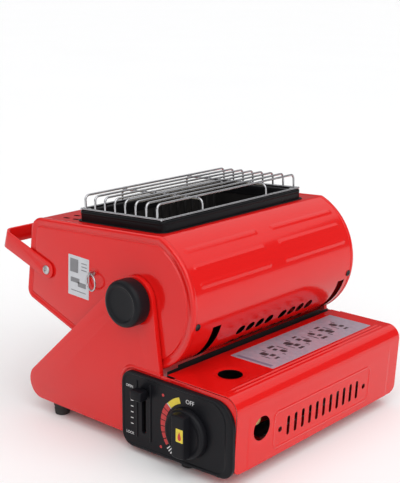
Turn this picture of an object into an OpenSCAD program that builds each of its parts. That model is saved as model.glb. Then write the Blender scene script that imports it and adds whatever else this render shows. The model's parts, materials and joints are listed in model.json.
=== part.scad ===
// Portable butane cartridge heater: a tilting burner head between two arms, with a cartridge bay beside it.
// Front is -Y (the control panel end), +X is the cartridge side, Z is up from the ground.

/* [Base] */
// Length of the base over its two side plates
base_len = 274; // [260:1:300]
// Height of the base pan above the ground
base_z = 15.5; // [12:0.5:20]
// Thickness of the steel sheet
sheet = 0.8; // [0.6:0.1:1.2]
// Height of the tilt axis above the ground
pivot_z = 154; // [150:1:175]
// Place of the tilt axis across the base
pivot_x = 38; // [34:1:40]
// Radius of the arm's round top
lobe_r = 24; // [20:1:26]
// Reach of the arm's toe from the tilt axis
toe_reach = 140; // [120:1:145]
// Radius of the arm's toe
toe_r = 18; // [12:1:24]
// Depth of the folded rim along the arm
rim_depth = 4.3; // [2:0.1:4.5]

/* [Feet] */
// Diameter of a rubber foot
foot_d = 19; // [14:1:26]
// Distance of the left feet from the tilt axis
foot_left = 122; // [90:1:126]
// Distance of the right feet from the tilt axis
foot_right = 60; // [50:1:70]
// Distance of the feet from the ends of the base
foot_inset = 13; // [12:0.5:30]
// Diameter of the foot screws
foot_screw_d = 4; // [3:0.5:5]

/* [Cartridge bay] */
// Inner edge of the lid, from the tilt axis
lid_off = 41; // [41:1:50]
// Width of the lid over the bay
lid_w = 87; // [85:1:100]
// Height of the lid's top face
lid_z = 89.3; // [88.6:0.1:94]
// Radius of the lid's long outer edge
lid_round = 14; // [8:1:18]
// Lean of the lid's side towards its foot, in degrees
lid_draft = 3.1; // [0:0.1:3.5]
// Height of the lid side's lower hem
lid_hem = 15; // [10:0.1:17]
// Diameter of the finger hole and of the adjuster hole
port_d = 24; // [16:1:26]
// Number of vent slots in the lid's side
vent_count = 11; // [5:2:13]
// Pitch of the vent slots
vent_pitch = 11.7; // [9:0.1:12]
// Width of a vent slot
vent_w = 4.4; // [2:0.1:6]
// Length of a vent slot
vent_len = 19.5; // [12:0.5:22]
// Diameter of the lid's hinge pin
hinge_pin_d = 3; // [2:0.1:3.4]
// Diameter of the cartridge that fits
can_d = 68; // [64:0.5:68]
// Bore of the cartridge socket
socket_d = 34; // [30:0.5:40]
// Depth of the cartridge socket
socket_h = 6; // [4:0.5:7]
// Travel of the cartridge carriage
carriage_travel = 10; // [6:0.5:12]

/* [Control panel] */
// Width of the moulded control panel
panel_w = 140; // [136:1:142]
// Height of the control panel
panel_h = 77.6; // [76:0.1:81]
// Lower edge of the panel above the ground
panel_z = 6.5; // [5:0.5:8]
// Thickness of the panel
panel_t = 3; // [2:0.5:4]
// Radius of the panel's left corners
panel_round = 14; // [6:1:18]
// Radius of the panel's upper right corner
panel_shoulder = 22; // [10:1:26]
// Radius of the panel's lower right corner
panel_heel = 14; // [5:1:18]
// Rise of the panel's lower edge towards that corner
panel_lift = 4; // [0:0.5:6]
// Place of the control knob from the panel's right edge
knob_in = 54.3; // [50:0.1:58]
// Height of the control knob's axis
knob_z = 42.5; // [38:0.5:46]
// Diameter of the control knob's skirt
knob_d = 49; // [40:1:54]
// How far the control knob stands out of the panel
knob_out = 15; // [12:0.5:20]
// Width of the control knob's grip bar
grip_w = 17; // [12:1:22]
// Diameter of the valve spindle
spindle_d = 6; // [5:0.5:7]
// Place of the cartridge lever from the panel's left edge
lever_in = 29; // [26:1:34]
// Height of the lever at rest
lever_z = 66; // [62:1:68]
// Travel of the lever
lever_travel = 38; // [24:1:40]

/* [Heater head] */
// Room between the head's ends and the outside of the side plates
head_gap = 7; // [6.5:0.1:10]
// Lean of the head at rest, in degrees
head_lean = 3; // [0:0.5:4]
// Radius of the drum
drum_r = 69.5; // [67:0.1:70.5]
// Depth of the flat top below the drum's crown
flat_drop = 6.5; // [4:0.1:8]
// Radius of the head's upper back corner
shoulder_r = 14; // [8:1:16]
// Place of that corner's centre behind the tilt axis
shoulder_back = 139; // [138:1:144]
// Place of the lower back corner's centre behind the tilt axis
heel_back = 155.5; // [154:0.5:158]
// Drop of the lower back corner's centre below the tilt axis
heel_drop = 14.6; // [10:0.2:18]
// Radius of the lower back corner
heel_r = 10; // [6:1:12]
// Depth of the raised field on the end plates
field_h = 1; // [0.5:0.1:1.5]
// Width of the flat border round that field
field_border = 9; // [6:0.5:12]
// Width of the pipe slots in the drum
slot_w = 12; // [7.5:0.5:14]
// Place of the front pipe slot from the head's front end
slot_front = 37; // [34:1:40]
// Place of the rear slot from the head's rear end
slot_rear = 17; // [14:1:22]
// Length of a pressed bead on the drum
bead_len = 100; // [80:1:105]
// Height of a pressed bead
bead_h = 0.9; // [0.5:0.1:1.2]

/* [Burner] */
// Width of the black burner frame
frame_w = 117; // [112:1:118]
// Length of the burner frame
frame_len = 220; // [212:1:224]
// Height of the burner frame
frame_h = 11; // [9:0.5:14]
// Width of the frame's border
frame_border = 12; // [11:0.5:13]
// Corner radius of the frame
frame_round = 7; // [5:0.5:9]
// Right edge of the frame from the tilt axis
frame_right = 21; // [16:0.5:22]
// Shift of the burner towards the front
frame_shift = 6; // [0:1:10]
// Number of long guard wires
wire_count = 8; // [5:1:10]
// Thickness of a guard wire
wire_d = 2.2; // [1.8:0.1:2.6]
// Height of the guard above its base ring
guard_h = 14; // [10:0.5:20]
// Depth of the ceramic face below the top of the head
tile_depth = 27; // [20:1:30]
// Thickness of the ceramic tiles
tile_t = 10; // [8:0.5:12]
// Number of ceramic tiles
tile_count = 3; // [2:1:4]
// Outer diameter of the mixing tube
venturi_d = 22; // [16:1:24]

/* [Clamp knobs and handle] */
// Diameter of a clamp knob
clamp_d = 46; // [36:1:50]
// Depth of a clamp knob
clamp_h = 17.7; // [14:0.1:22]
// Diameter of the clamp stud
stud_d = 8; // [6:0.5:9]
// Diameter of the pivot journal in the arm
journal_d = 12; // [11:0.5:16]
// Width of the handle strap
strap_w = 18.5; // [14:0.5:20]
// Thickness of the handle strap
strap_t = 2; // [1.5:0.1:2.2]
// Reach of the handle from its screws
handle_reach = 74.4; // [70:0.1:84]
// Rise of the handle above the head's own level, in degrees
handle_rise = 21; // [15:1:30]
// Place of the handle screws behind the tilt axis
handle_back = 130; // [126:1:134]
// Place of the handle screws above the tilt axis
handle_up = 11; // [6:1:14]
// Mean radius of the pull ring
ring_r = 8.3; // [7:0.1:10]
// Thickness of the pull ring
ring_d = 1.8; // [1.4:0.1:2]

/* [Hidden] */
$fn = 64;

// Clearances: between bodies, in a running fit and in a plain hole
gap = 0.3;
run_gap = 0.06;
hole_gap = 0.2;
tuck = 0.02;

// Colours
red = [0.8, 0.09, 0.07];
black = [0.09, 0.09, 0.1];
steel = [0.72, 0.72, 0.74];
brass = [0.78, 0.6, 0.25];
cream = [0.9, 0.86, 0.76];

// Planes along the length: outer and inner faces of the side plates, ends of the head
plate_out = base_len / 2;
plate_in = plate_out - sheet;
head_end = plate_out - head_gap;
head_top = drum_r - flat_drop;
field_y = head_end + field_h;

// Bay and panel places
lid_x = pivot_x + lid_off;
lid_out = lid_x + lid_w;
lid_under = lid_z - sheet;
lid_end = plate_out - gap;
pan_top = base_z + sheet;
pan_over = 2;
pan_short = 6;
pan_lip = 8;
pan_left = pivot_x - toe_reach - pan_over;
pan_right = lid_out - pan_short;
lid_room = 0.6;
plate_top = lid_under - lid_room;
plate_heel = 3;
foot_head_h = 2.4;
arm_in = 15;
arm_round = 10;
arm_high = 68;
arm_rim_low = 40;
bay_lap = 20;
panel_in = 2;
panel_right = lid_out - panel_in;
panel_left = panel_right - panel_w;
panel_face = -plate_out - panel_t;
panel_rim = 1;
panel_rim_w = 3;
knob_x = panel_right - knob_in;
lever_x = panel_left + lever_in;

// Lid hinge and the round of the lid's edge
hinge_in = 4.5;
hinge_x = lid_x + hinge_in;
hinge_z = lid_z - hinge_in;
ear_r = 3;
ear_w = 12;
ear_in = 37;
ear_y = plate_out - ear_in;
lid_corner_x = lid_out - lid_round;
lid_corner_z = lid_z - lid_round;
lid_notch = [11, 2];
lid_side_len = (lid_corner_z - lid_hem) / cos(lid_draft);
lid_past = 5;
lid_bead_h = 0.6;
lid_bead_w = 1.6;
lid_bead_in = 14;
lid_bead_offs = [2, 7];
emboss_half = 81;
emboss_h = 18.5;
emboss_drop = 33.5;
emboss_round = 6;
vent_end_d = 5.5;
vent_end_off = 0.6;
finger_in = 45.5;
finger_off = 3.5;
finger_y = -plate_out + finger_in;
adjuster_in = 37;
adjuster_y = -plate_out + adjuster_in;
adjuster_drop = 24;
vent_drop = 35;
emboss_low = -emboss_drop - emboss_h;
emboss_high = -emboss_drop + emboss_h;
emboss_ring = box_ring(-emboss_half, emboss_low, emboss_half, emboss_high, emboss_round);

// Gas train places: the cartridge lies along Y in the middle of the bay
can_in = 44;
can_rise = 2.2;
can_x = lid_x + can_in;
can_z = pan_top + can_rise + can_d / 2;
post_len = 8;
regulator_front = -plate_in + post_len;
regulator_len = 40;
regulator_rear = regulator_front + regulator_len;
regulator_w = 44;
regulator_h = 44;
socket_rear = regulator_rear + socket_h;
socket_wall = 6;
nozzle_r = 6;
nozzle_h = 3;
nozzle_bore_r = 1.5;
post_r = 4;
plug_rise = 3;
plug_along = 4;
plug_hex_d = 15;
plug_hex_h = 5;
plug_d = 11;
plug_len = 11.5;
plug_bore_d = 5;
plug_bore_h = 4;
piezo_size = [13, 28, 14];
piezo_off = 2;
piezo_rise = 4;
carriage_t = 1.6;
hook_t = 3;
hook_w = 36;
hook_h = 40;
hook_room = 9;
hook_front = plate_in - hook_t - hook_room;
carriage_w = 20;
carriage_in = 22;
wall_room = 4;
bay_wall_top = hinge_z - ear_r - wall_room;

// Heat shield: a bent strip on the bay wall, in the gap below the drum; its ends pass below the cover screws
shield_off = 3.5;
shield_drop = 3.5;
shield_gap = 2.1;
shield_end_gap = 4.4;
shield_end = 15;
shield_room = 0.5;
shield_x = lid_x - shield_off;
shield_half = plate_in - rim_depth - shield_room;
shield_foot = bay_wall_top - shield_drop;

// The fixed pipe enters the drum through the front slot and ends on the tilt axis
pipe_r = 3;
pipe_z = 45;
pipe_angle = 113;
pipe_y = -head_end + slot_front;
elbow_over = 2;
pipe_seat = 0.1;
pipe_reach = (pivot_z - pipe_z) / sin(pipe_angle);
pipe_foot_x = pivot_x + pipe_reach * cos(pipe_angle);
jet_r = 5;
jet_h = 16;
jet_tip_r = 2;
jet_tip_h = 5;
jet_step = 1;
jet_bore_r = 0.6;
jet_back = 2;
jet_room = 8;

// Head profile: circles as [x, z, radius], counter-clockwise round the outline
belly_x = -45.5;
belly_r = 12;
head_ring = [
  [0, 0, drum_r],
  [-shoulder_back, head_top - shoulder_r, shoulder_r],
  [-heel_back, -heel_drop, heel_r],
  [belly_x, belly_r - drum_r, belly_r]
];
top_edge_x = sqrt(drum_r * drum_r - head_top * head_top);
seam_x = -14;
seam_z = head_top - shoulder_r;
wrap_end = head_end - sheet;
slot_top = -20.5;
slot_bottom = -121;
slot_depth = 14;
bead_angles = [16.5, 30.5, 45.5];
bead_shift = 64;
bead_r = 3.5;
oval_angles = [-36.5, -54.5];
oval_pitch = 15;
oval_rows = [-25.5, 42];
oval_w = 11.5;
oval_len = 12.5;
top_vent_rows = [8, 22];
top_vent_pitch = 14;
top_vent_w = 4;
top_vent_len = 9;
top_vents = floor((head_end - top_vent_len) / top_vent_pitch);
cut = 8;
cover_screw_angle = -15;
cover_screw_in = 7;
cover_screw_d = 3.2;
cover_screw_len = 5;
cover_head_d = 7;
cover_head_h = 1.5;
head_seat = 0.1;

// Burner places in the head's own frame
frame_left = frame_right - frame_w;
frame_x = frame_right - frame_w / 2;
frame_y = -frame_shift;
open_w = frame_w - 2 * frame_border;
open_len = frame_len - 2 * frame_border;
open_round = 3;
frame_wall = sheet;
frame_top_t = 1.5;
frame_foot = 2.5;
frame_foot_t = 1;
tray_t = 1;
tray_top = head_top - sheet;
tile_top = head_top - tile_depth;
tile_z = tile_top - tile_t;
tile_room = [13, 10];
tile_w = open_w - tile_room[0];
tile_field = open_len - tile_room[1];
tile_gap = 0.4;
gasket_h = 6;
rib_r = 2;
rib_pitch = 12;
ribs = floor(open_len / rib_pitch) - 1;
electrode_r = 2.5;
electrode_off = 3.2;
electrode_rise = 4;
electrode_tip_r = 0.7;
electrode_tip_len = 12;
electrode_x = frame_x + tile_w / 2 + electrode_off;
electrode_y = frame_y + (2.5 - (ribs - 1) / 2) * rib_pitch;
tube_room = 2;
box_z = venturi_d / 2 + tube_room;
ledge = 2.5;
box_w = tile_w - ledge;
box_len = tile_field - ledge;
duct_inset = 2;
duct_w = 10;
duct_len = 16;
duct_right = frame_x + box_w / 2 - duct_inset;
duct_end = 23;
duct_y = frame_y + tile_field / 2 - duct_end;
guard_inset = 3;
guard_bend = 5;
cross_off = 50;
weld_gap = 0.05;
ring_w = frame_w - 2 * guard_inset;
ring_len = frame_len - 2 * guard_inset;
ring_z = head_top + frame_h + wire_d / 2;
guard_z = ring_z + guard_h;
wire_over = 3;
wire_span = open_w + 2 * wire_over;
frame_screw_in = [3.5, 4];
frame_screw_d = 5;
frame_screw_top_d = 3.6;
frame_screw_h = 1.2;

// Clamp, pivot and handle places
bush_flange_r = 13;
bush_seat = plate_in - gap;
bush_end = plate_out + hole_gap;
clamp_gap = 0.5;
clamp_back = plate_out + clamp_gap;
clamp_round = 4;
clamp_dish = 2.5;
clamp_step = [1, 2];
stud_tip = 6;
stud_in = 6;
stud_end = wrap_end - stud_in;
strap_in = field_y + gap;
strap_out = strap_in + strap_t;
strap_bend = 9;
handle_screw_r = 3;
handle_shank_r = 2;
handle_shank_in = 4;
handle_head_r = 5;
handle_head_h = 2;
pin_back = 60;
pin_up = 16.6;
pin_r = 2;
pin_in = 4;
eye_base = 2;
eye_t = 1.2;
eye_h = 5.4;
eye_hole_r = 1.6;
eye_out = 4.6;
eye_y = field_y + eye_out;
ring_turn = -14;

// Outline tools

// Tangent points on the right of the way from circle a to circle b
function tangent(a, b) =
  let (d = [b[0] - a[0], b[1] - a[1]])
  let (u = d / norm(d))
  let (k = (a[2] - b[2]) / norm(d))
  let (n = k * u + sqrt(1 - k * k) * [u[1], -u[0]])
  [[a[0], a[1]] + a[2] * n, [b[0], b[1]] + b[2] * n];

function belt_points(c) = [for (i = [0 : len(c) - 1]) each tangent(c[i], c[(i + 1) % len(c)])];

function grown(c, by) = [for (k = c) [k[0], k[1], k[2] + by]];

function box_ring(x0, z0, x1, z1, r) =
  [[x0 + r, z0 + r, r], [x1 - r, z0 + r, r], [x1 - r, z1 - r, r], [x0 + r, z1 - r, r]];

// Round corner of an outline, a hair proud of the straight edges so that they cross it cleanly
module corner(k) {
  translate([k[0], k[1]])
    circle(r = k[2] + tuck);
}

// Closed outline stretched round a list of circles, counter-clockwise
module belt(c) {
  polygon(belt_points(c));
  for (k = c)
    corner(k);
}

// Push an outline drawn in X and Z along Y, from y0 to y1
module slab(y0, y1) {
  translate([0, y1, 0])
    rotate([90, 0, 0])
      linear_extrude(y1 - y0)
        children();
}

// Block between two corners
module block(a, b) {
  translate(a)
    cube(b - a);
}

// Round bar along Y
module bar_y(x, z, r, y0, y1) {
  translate([x, y1, z])
    rotate([90, 0, 0])
      cylinder(r = r, h = y1 - y0);
}

// Long hole with round ends, cut along its own Z, with its length along Y
module long_hole(w, len, depth) {
  cube([w, len - w, depth], center = true);
  for (s = [-1, 1])
    translate([0, s * (len - w) / 2, 0])
      cylinder(d = w, h = depth, center = true);
}

// The head's own frame: origin on the tilt axis, leaning as it rests
module in_head() {
  translate([pivot_x, 0, pivot_z])
    rotate([0, -head_lean, 0])
      children();
}

// Turn a part's own Z to point outwards on the drum at an angle
module on_drum(angle, y) {
  translate([0, y, 0])
    rotate([0, 90 - angle, 0])
      children();
}

// Base

module base_pan() {
  color(red)
    difference() {
      union() {
        block([pan_left, -plate_in, base_z], [pan_right, plate_in, pan_top]);
        block([pan_left, -plate_in, pan_top], [pan_left + sheet, plate_in, pan_top + pan_lip]);
      }
      at_feet()
        translate([0, 0, base_z - 1])
          cylinder(d = foot_screw_d + 2 * hole_gap, h = sheet + 2);
    }
}

module at_feet() {
  for (x = [pivot_x - foot_left, pivot_x + foot_right], s = [-1, 1])
    translate([x, s * (plate_out - foot_inset), 0])
      children();
}

module rubber_feet() {
  color(black)
    at_feet()
      difference() {
        cylinder(d1 = foot_d - 2, d2 = foot_d, h = base_z);
        translate([0, 0, base_z / 2])
          cylinder(d = foot_screw_d + 2 * run_gap, h = base_z);
      }
}

module foot_screws() {
  color(steel)
    at_feet() {
      translate([0, 0, base_z / 2 + 1])
        cylinder(d = foot_screw_d, h = pan_top - base_z / 2 - 1);
      translate([0, 0, pan_top])
        cylinder(d = 2 * foot_screw_d, h = foot_head_h);
    }
}

// Circles round the arm: toe, two corners on the right, and the lobe at the tilt axis
function arm_ring(by) =
  let (right = lid_x - arm_in)
  grown([[pivot_x - toe_reach, base_z + toe_r, toe_r], [right, base_z + arm_round, arm_round],
         [right, arm_high, arm_round], [pivot_x, pivot_z, lobe_r]], by);

module side_outline() {
  left = lid_x - bay_lap;
  low = base_z + plate_heel;
  belt(arm_ring(0));
  belt([
    [left, low, plate_heel],
    [pan_right - plate_heel, low, plate_heel],
    [lid_corner_x, lid_corner_z, lid_round - sheet - lid_room],
    [left, plate_top - plate_heel, plate_heel]
  ]);
}

// Side plate with its arm, drawn for the rear end; the front one is its mirror
module side_plate() {
  slab(plate_in, plate_out)
    side_outline();
  slab(plate_in - rim_depth, plate_in + sheet / 2)
    intersection() {
      difference() {
        belt(arm_ring(0));
        belt(arm_ring(-sheet));
      }
      translate([pivot_x - toe_reach - pivot_z, arm_rim_low])
        square(2 * (toe_reach + pivot_z));
    }
}

module side_plate_holes() {
  bar_y(pivot_x, pivot_z, journal_d / 2 + run_gap, plate_in - 1, plate_out + 1);
  bar_y(hinge_x, hinge_z, hinge_pin_d / 2 + run_gap, plate_in - 1, plate_out + 1);
}

module front_side_plate() {
  color(red)
    difference() {
      mirror([0, 1, 0])
        side_plate();
      mirror([0, 1, 0])
        side_plate_holes();
      bar_y(knob_x, knob_z, spindle_d / 2 + 2 * hole_gap, -plate_out - 1, -plate_in + 1);
      lever_slot(-plate_out - 1, -plate_in + 1);
    }
}

module rear_side_plate() {
  color(red)
    difference() {
      side_plate();
      side_plate_holes();
    }
}

module bay_wall() {
  color(black)
    difference() {
      block([lid_x, -plate_in, pan_top], [lid_x + sheet, plate_in, bay_wall_top]);
      translate([lid_x - 1, pipe_y, pipe_z])
        rotate([0, 90, 0])
          cylinder(r = pipe_r + 1, h = sheet + 2);
    }
}

function shield_top(room) = pivot_z - sqrt(pow(drum_r + room, 2) - pow(shield_x + sheet - pivot_x, 2));

module heat_shield() {
  color(black)
    union() {
      block([shield_x, -shield_half, shield_foot - sheet], [lid_x, shield_half, shield_foot]);
      block([shield_x, -shield_half, shield_foot - sheet],
        [shield_x + sheet, shield_half, shield_top(shield_end_gap)]);
      block([shield_x, shield_end - shield_half, shield_foot - sheet],
        [shield_x + sheet, shield_half - shield_end, shield_top(shield_gap)]);
    }
}

module lid_hinge_pin() {
  color(steel)
    bar_y(hinge_x, hinge_z, hinge_pin_d / 2, -plate_out, plate_out);
}

// Control end

knob_gap = 0.4;
knob_skirt = 6.75;
knob_draft = 2;
spindle_up = 6;
spindle_in = 4;
lever_tab = [14, 10];
lever_neck = [5, 8];
lever_block = [12, 14];
lever_tab_out = 11;
lever_block_in = 7;
guide_wall = 2;
guide_in = 8;
ridge_off = 9;
ridge_w = 2;
ridge_over = 10;

// Slot that the lever's neck travels in
module lever_slot(y0, y1) {
  block([lever_x - lever_neck[0] / 2 - gap, y0, lever_z - lever_travel - lever_neck[1] / 2 - gap],
        [lever_x + lever_neck[0] / 2 + gap, y1, lever_z + lever_neck[1] / 2 + gap]);
}

module control_panel() {
  top = panel_z + panel_h;
  ring = [
    [panel_left + panel_round, panel_z + panel_round, panel_round],
    [panel_right - panel_heel, panel_z + panel_lift + panel_heel, panel_heel],
    [panel_right - panel_shoulder, top - panel_shoulder, panel_shoulder],
    [panel_left + panel_round, top - panel_round, panel_round]
  ];
  color(black)
    difference() {
      union() {
        slab(panel_face, -plate_out)
          belt(ring);
        slab(panel_face - panel_rim, panel_face)
          difference() {
            belt(ring);
            belt(grown(ring, -panel_rim_w));
          }
        for (x = [lever_x - ridge_off, lever_x + ridge_off])
          block([x - ridge_w / 2, panel_face - panel_rim, lever_z - lever_travel - ridge_over],
                [x + ridge_w / 2, panel_face, lever_z + ridge_over]);
      }
      bar_y(knob_x, knob_z, spindle_d / 2 + hole_gap, panel_face - 1, -plate_out + 1);
      lever_slot(panel_face - 1, -plate_out + 1);
    }
}

module control_knob() {
  back = panel_face - knob_gap;
  front = panel_face - knob_out;
  color(black)
    difference() {
      translate([knob_x, back, knob_z])
        rotate([90, 0, 0]) {
          cylinder(d1 = knob_d, d2 = knob_d - 2 * knob_draft, h = knob_skirt);
          intersection() {
            cylinder(d1 = knob_d + knob_draft, d2 = knob_d - 3 * knob_draft, h = back - front);
            translate([-grip_w / 2, -knob_d / 2, 0])
              cube([grip_w, knob_d, back - front]);
          }
        }
      bar_y(knob_x, knob_z, spindle_d / 2 + run_gap, back - knob_skirt, back + 1);
    }
}

module valve_spindle() {
  color(brass)
    bar_y(knob_x, knob_z, spindle_d / 2, panel_face - knob_gap - spindle_up, regulator_front + spindle_in);
}

module lock_lever() {
  tab_back = panel_face - panel_rim - gap;
  block_y = -plate_in + gap;
  color(black) {
    block([lever_x - lever_tab[0] / 2, tab_back - lever_tab_out, lever_z - lever_tab[1] / 2],
          [lever_x + lever_tab[0] / 2, tab_back, lever_z + lever_tab[1] / 2]);
    block([lever_x - lever_neck[0] / 2, tab_back, lever_z - lever_neck[1] / 2],
          [lever_x + lever_neck[0] / 2, block_y, lever_z + lever_neck[1] / 2]);
    block([lever_x - lever_block[0] / 2, block_y, lever_z - lever_block[1] / 2],
          [lever_x + lever_block[0] / 2, block_y + lever_block_in, lever_z + lever_block[1] / 2]);
  }
}

module lever_guide() {
  half = lever_block[0] / 2 + gap;
  low = lever_z - lever_travel - lever_block[1] / 2 - gap;
  high = lever_z + lever_block[1] / 2 + gap;
  color(steel)
    for (s = [-1, 1])
      translate([lever_x + s * (half + guide_wall / 2), -plate_in + guide_in / 2, (low + high) / 2])
        cube([guide_wall, guide_in, high - low], center = true);
}

// Gas train

module regulator_body() {
  half = [regulator_w / 2, regulator_h / 2];
  color(steel)
    difference() {
      union() {
        block([can_x - half[0], regulator_front, can_z - half[1]],
              [can_x + half[0], regulator_rear, can_z + half[1]]);
        for (s = [-1, 1])
          bar_y(can_x + s * (half[0] - post_r), can_z + s * (half[1] - post_r), post_r,
                -plate_in, regulator_front);
      }
      bar_y(can_x, can_z, nozzle_r + run_gap, regulator_rear - nozzle_h, regulator_rear + 1);
      bar_y(knob_x, knob_z, spindle_d / 2 + run_gap, regulator_front - 1,
            regulator_front + spindle_in + 1);
    }
}

module canister_socket() {
  color(steel)
    slab(regulator_rear, socket_rear)
      translate([can_x, can_z])
        difference() {
          circle(d = socket_d + 2 * socket_wall);
          circle(d = socket_d);
        }
}

module inlet_nozzle() {
  color(brass)
    difference() {
      bar_y(can_x, can_z, nozzle_r, regulator_rear - nozzle_h, regulator_rear);
      bar_y(can_x, can_z, nozzle_bore_r, regulator_rear - nozzle_h - 1, regulator_rear + 1);
    }
}

module adjuster_plug() {
  face = can_x + regulator_w / 2;
  color(brass)
    translate([face, adjuster_y + plug_along, can_z + plug_rise])
      rotate([0, 90, 0]) {
        cylinder(d = plug_hex_d, h = plug_hex_h, $fn = 6);
        difference() {
          cylinder(d = plug_d, h = plug_len);
          translate([0, 0, plug_len - plug_bore_h])
            cylinder(d = plug_bore_d, h = plug_bore_h + 1);
        }
      }
}

module piezo_igniter() {
  color(black)
    translate([can_x - regulator_w / 2 - piezo_size[0], regulator_front + piezo_off, can_z + piezo_rise])
      cube(piezo_size);
}

// Pipe in two straight runs that meet in an elbow fitting
module gas_pipe() {
  start_x = can_x - regulator_w / 2;
  color(brass) {
    translate([pipe_foot_x, pipe_y, pipe_z])
      rotate([0, 90, 0])
        cylinder(r = pipe_r, h = start_x - pipe_foot_x);
    translate([pipe_foot_x, pipe_y, pipe_z])
      sphere(r = pipe_r + elbow_over);
    translate([pivot_x, pipe_y, pivot_z])
      rotate([0, pipe_angle + 90, 0])
        translate([0, 0, jet_r + pipe_seat])
          cylinder(r = pipe_r, h = pipe_reach - jet_r - pipe_seat);
  }
}

module gas_jet() {
  color(brass)
    translate([pivot_x, pipe_y - pipe_r - jet_back, pivot_z])
      rotate([-90, 0, 0])
        difference() {
          union() {
            cylinder(r = jet_r, h = jet_h);
            translate([0, 0, jet_h])
              cylinder(r1 = jet_r - jet_step, r2 = jet_tip_r, h = jet_tip_h);
          }
          translate([0, 0, jet_h])
            cylinder(r = jet_bore_r, h = jet_tip_h + 1);
        }
}

module canister_carriage() {
  low = pan_top + gap;
  color(steel) {
    block([can_x - carriage_w / 2, socket_rear + carriage_in, low],
          [can_x + carriage_w / 2, hook_front + hook_t, low + carriage_t]);
    block([can_x - hook_w / 2, hook_front, low], [can_x + hook_w / 2, hook_front + hook_t, low + hook_h]);
  }
}

// Lid

// Side wall of the lid in its own frame: origin at the edge round's centre, X outwards, Z up
module on_lid_side() {
  translate([lid_corner_x, 0, lid_corner_z])
    rotate([0, lid_draft, 0])
      children();
}

// Region under the lid's sheet, moved in by inset and run past its two free edges by over
module lid_outline(inset, over) {
  r = lid_round - inset;
  away = [cos(lid_draft), -sin(lid_draft)];
  down = [-sin(lid_draft), -cos(lid_draft)];
  centre = [lid_corner_x, lid_corner_z];
  hem = centre + r * away + (lid_side_len + over) * down;
  polygon([[lid_x - over, lid_z - inset], [lid_x - over, hem[1]], hem, centre + r * away, centre,
           [lid_corner_x, lid_z - inset]]);
  intersection() {
    corner([lid_corner_x, lid_corner_z, r]);
    translate(centre - [r / 2, r / 2])
      square(2 * lid_round);
  }
}

module lid_shell() {
  slab(-lid_end, lid_end)
    difference() {
      lid_outline(0, 0);
      lid_outline(sheet, lid_past);
    }
  on_lid_side()
    slab_x(lid_round - sheet / 2, lid_round + lid_bead_h)
      difference() {
        belt(emboss_ring);
        belt(grown(emboss_ring, -lid_bead_w));
      }
  for (off = lid_bead_offs)
    block([lid_corner_x - off, -plate_out + lid_bead_in, lid_z - sheet / 2],
          [lid_corner_x - off + lid_bead_w, plate_out - lid_bead_in, lid_z + lid_bead_h]);
  for (s = [-1, 1]) {
    bar_y(hinge_x, hinge_z, ear_r, s * ear_y - ear_w / 2, s * ear_y + ear_w / 2);
    block([hinge_x - ear_r, s * ear_y - ear_w / 2, hinge_z],
          [hinge_x + ear_r, s * ear_y + ear_w / 2, lid_z - sheet / 2]);
  }
}

// Push an outline drawn in Y and Z along X, from x0 to x1
module slab_x(x0, x1) {
  translate([x0, 0, 0])
    rotate([90, 0, 90])
      linear_extrude(x1 - x0)
        children();
}

module canister_lid() {
  color(red)
    difference() {
      lid_shell();
      translate([can_x - finger_off, finger_y, lid_under - 1])
        cylinder(d = port_d, h = sheet + 2);
      for (s = [-1, 1]) {
        block([lid_x - 1, s > 0 ? lid_end - lid_notch[1] : -lid_end - 1, lid_under - 1],
              [lid_x + lid_notch[0], s > 0 ? lid_end + 1 : -lid_end + lid_notch[1], lid_z + 1]);
        bar_y(hinge_x, hinge_z, hinge_pin_d / 2 + run_gap, s * ear_y - ear_w, s * ear_y + ear_w);
      }
      on_lid_side() {
        translate([lid_round, adjuster_y, -adjuster_drop])
          rotate([0, 90, 0])
            cylinder(d = port_d, h = 4 * sheet, center = true);
        for (i = [0 : vent_count - 1])
          translate([lid_round, (i - (vent_count - 1) / 2) * vent_pitch, -vent_drop])
            rotate([0, 90, 0])
              rotate(90)
                long_hole(vent_w, vent_len, 4 * sheet);
        for (s = [-1, 1])
          translate([lid_round, s * (vent_count / 2 + vent_end_off) * vent_pitch, -vent_drop])
            rotate([0, 90, 0])
              cylinder(d = vent_end_d, h = 4 * sheet, center = true);
      }
    }
}

// Heater head

module head_outline(inset) {
  c = grown(head_ring, -inset);
  top = head_top - inset;
  polygon(concat([[0, top], [c[1][0], top]], tangent(c[1], c[2]), tangent(c[2], c[3]), tangent(c[3], c[0])));
  for (k = c)
    intersection() {
      corner(k);
      translate([-2 * heel_back, -2 * drum_r])
        square([4 * heel_back, 2 * drum_r + top]);
    }
}

// Folded sheet of the head between the end plates, kept inside a region of the outline
module wrap() {
  slab(-wrap_end, wrap_end)
    intersection() {
      difference() {
        head_outline(0);
        head_outline(sheet);
      }
      children();
    }
}

// Sector cut for the fixed pipe
module pipe_slot(y) {
  r = 2 * drum_r;
  slab(y - slot_w / 2, y + slot_w / 2)
    difference() {
      polygon([[0, 0], r * [cos(slot_bottom), sin(slot_bottom)], r * [0, -1],
               r * [cos(slot_top), sin(slot_top)]]);
      circle(r = drum_r - slot_depth);
    }
}

module pipe_slots() {
  pipe_slot(-head_end + slot_front);
  pipe_slot(head_end - slot_rear);
}

module drum_beads() {
  difference() {
    for (a = bead_angles, s = [-1, 1])
      rotate([0, -a, 0])
        translate([drum_r + bead_h - bead_r, s * bead_shift, 0]) {
          bar_y(0, 0, bead_r, -bead_len / 2, bead_len / 2);
          for (e = [-1, 1])
            translate([0, e * bead_len / 2, 0])
              sphere(r = bead_r);
        }
    bar_y(0, 0, drum_r - sheet / 2, -head_end, head_end);
  }
}

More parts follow.
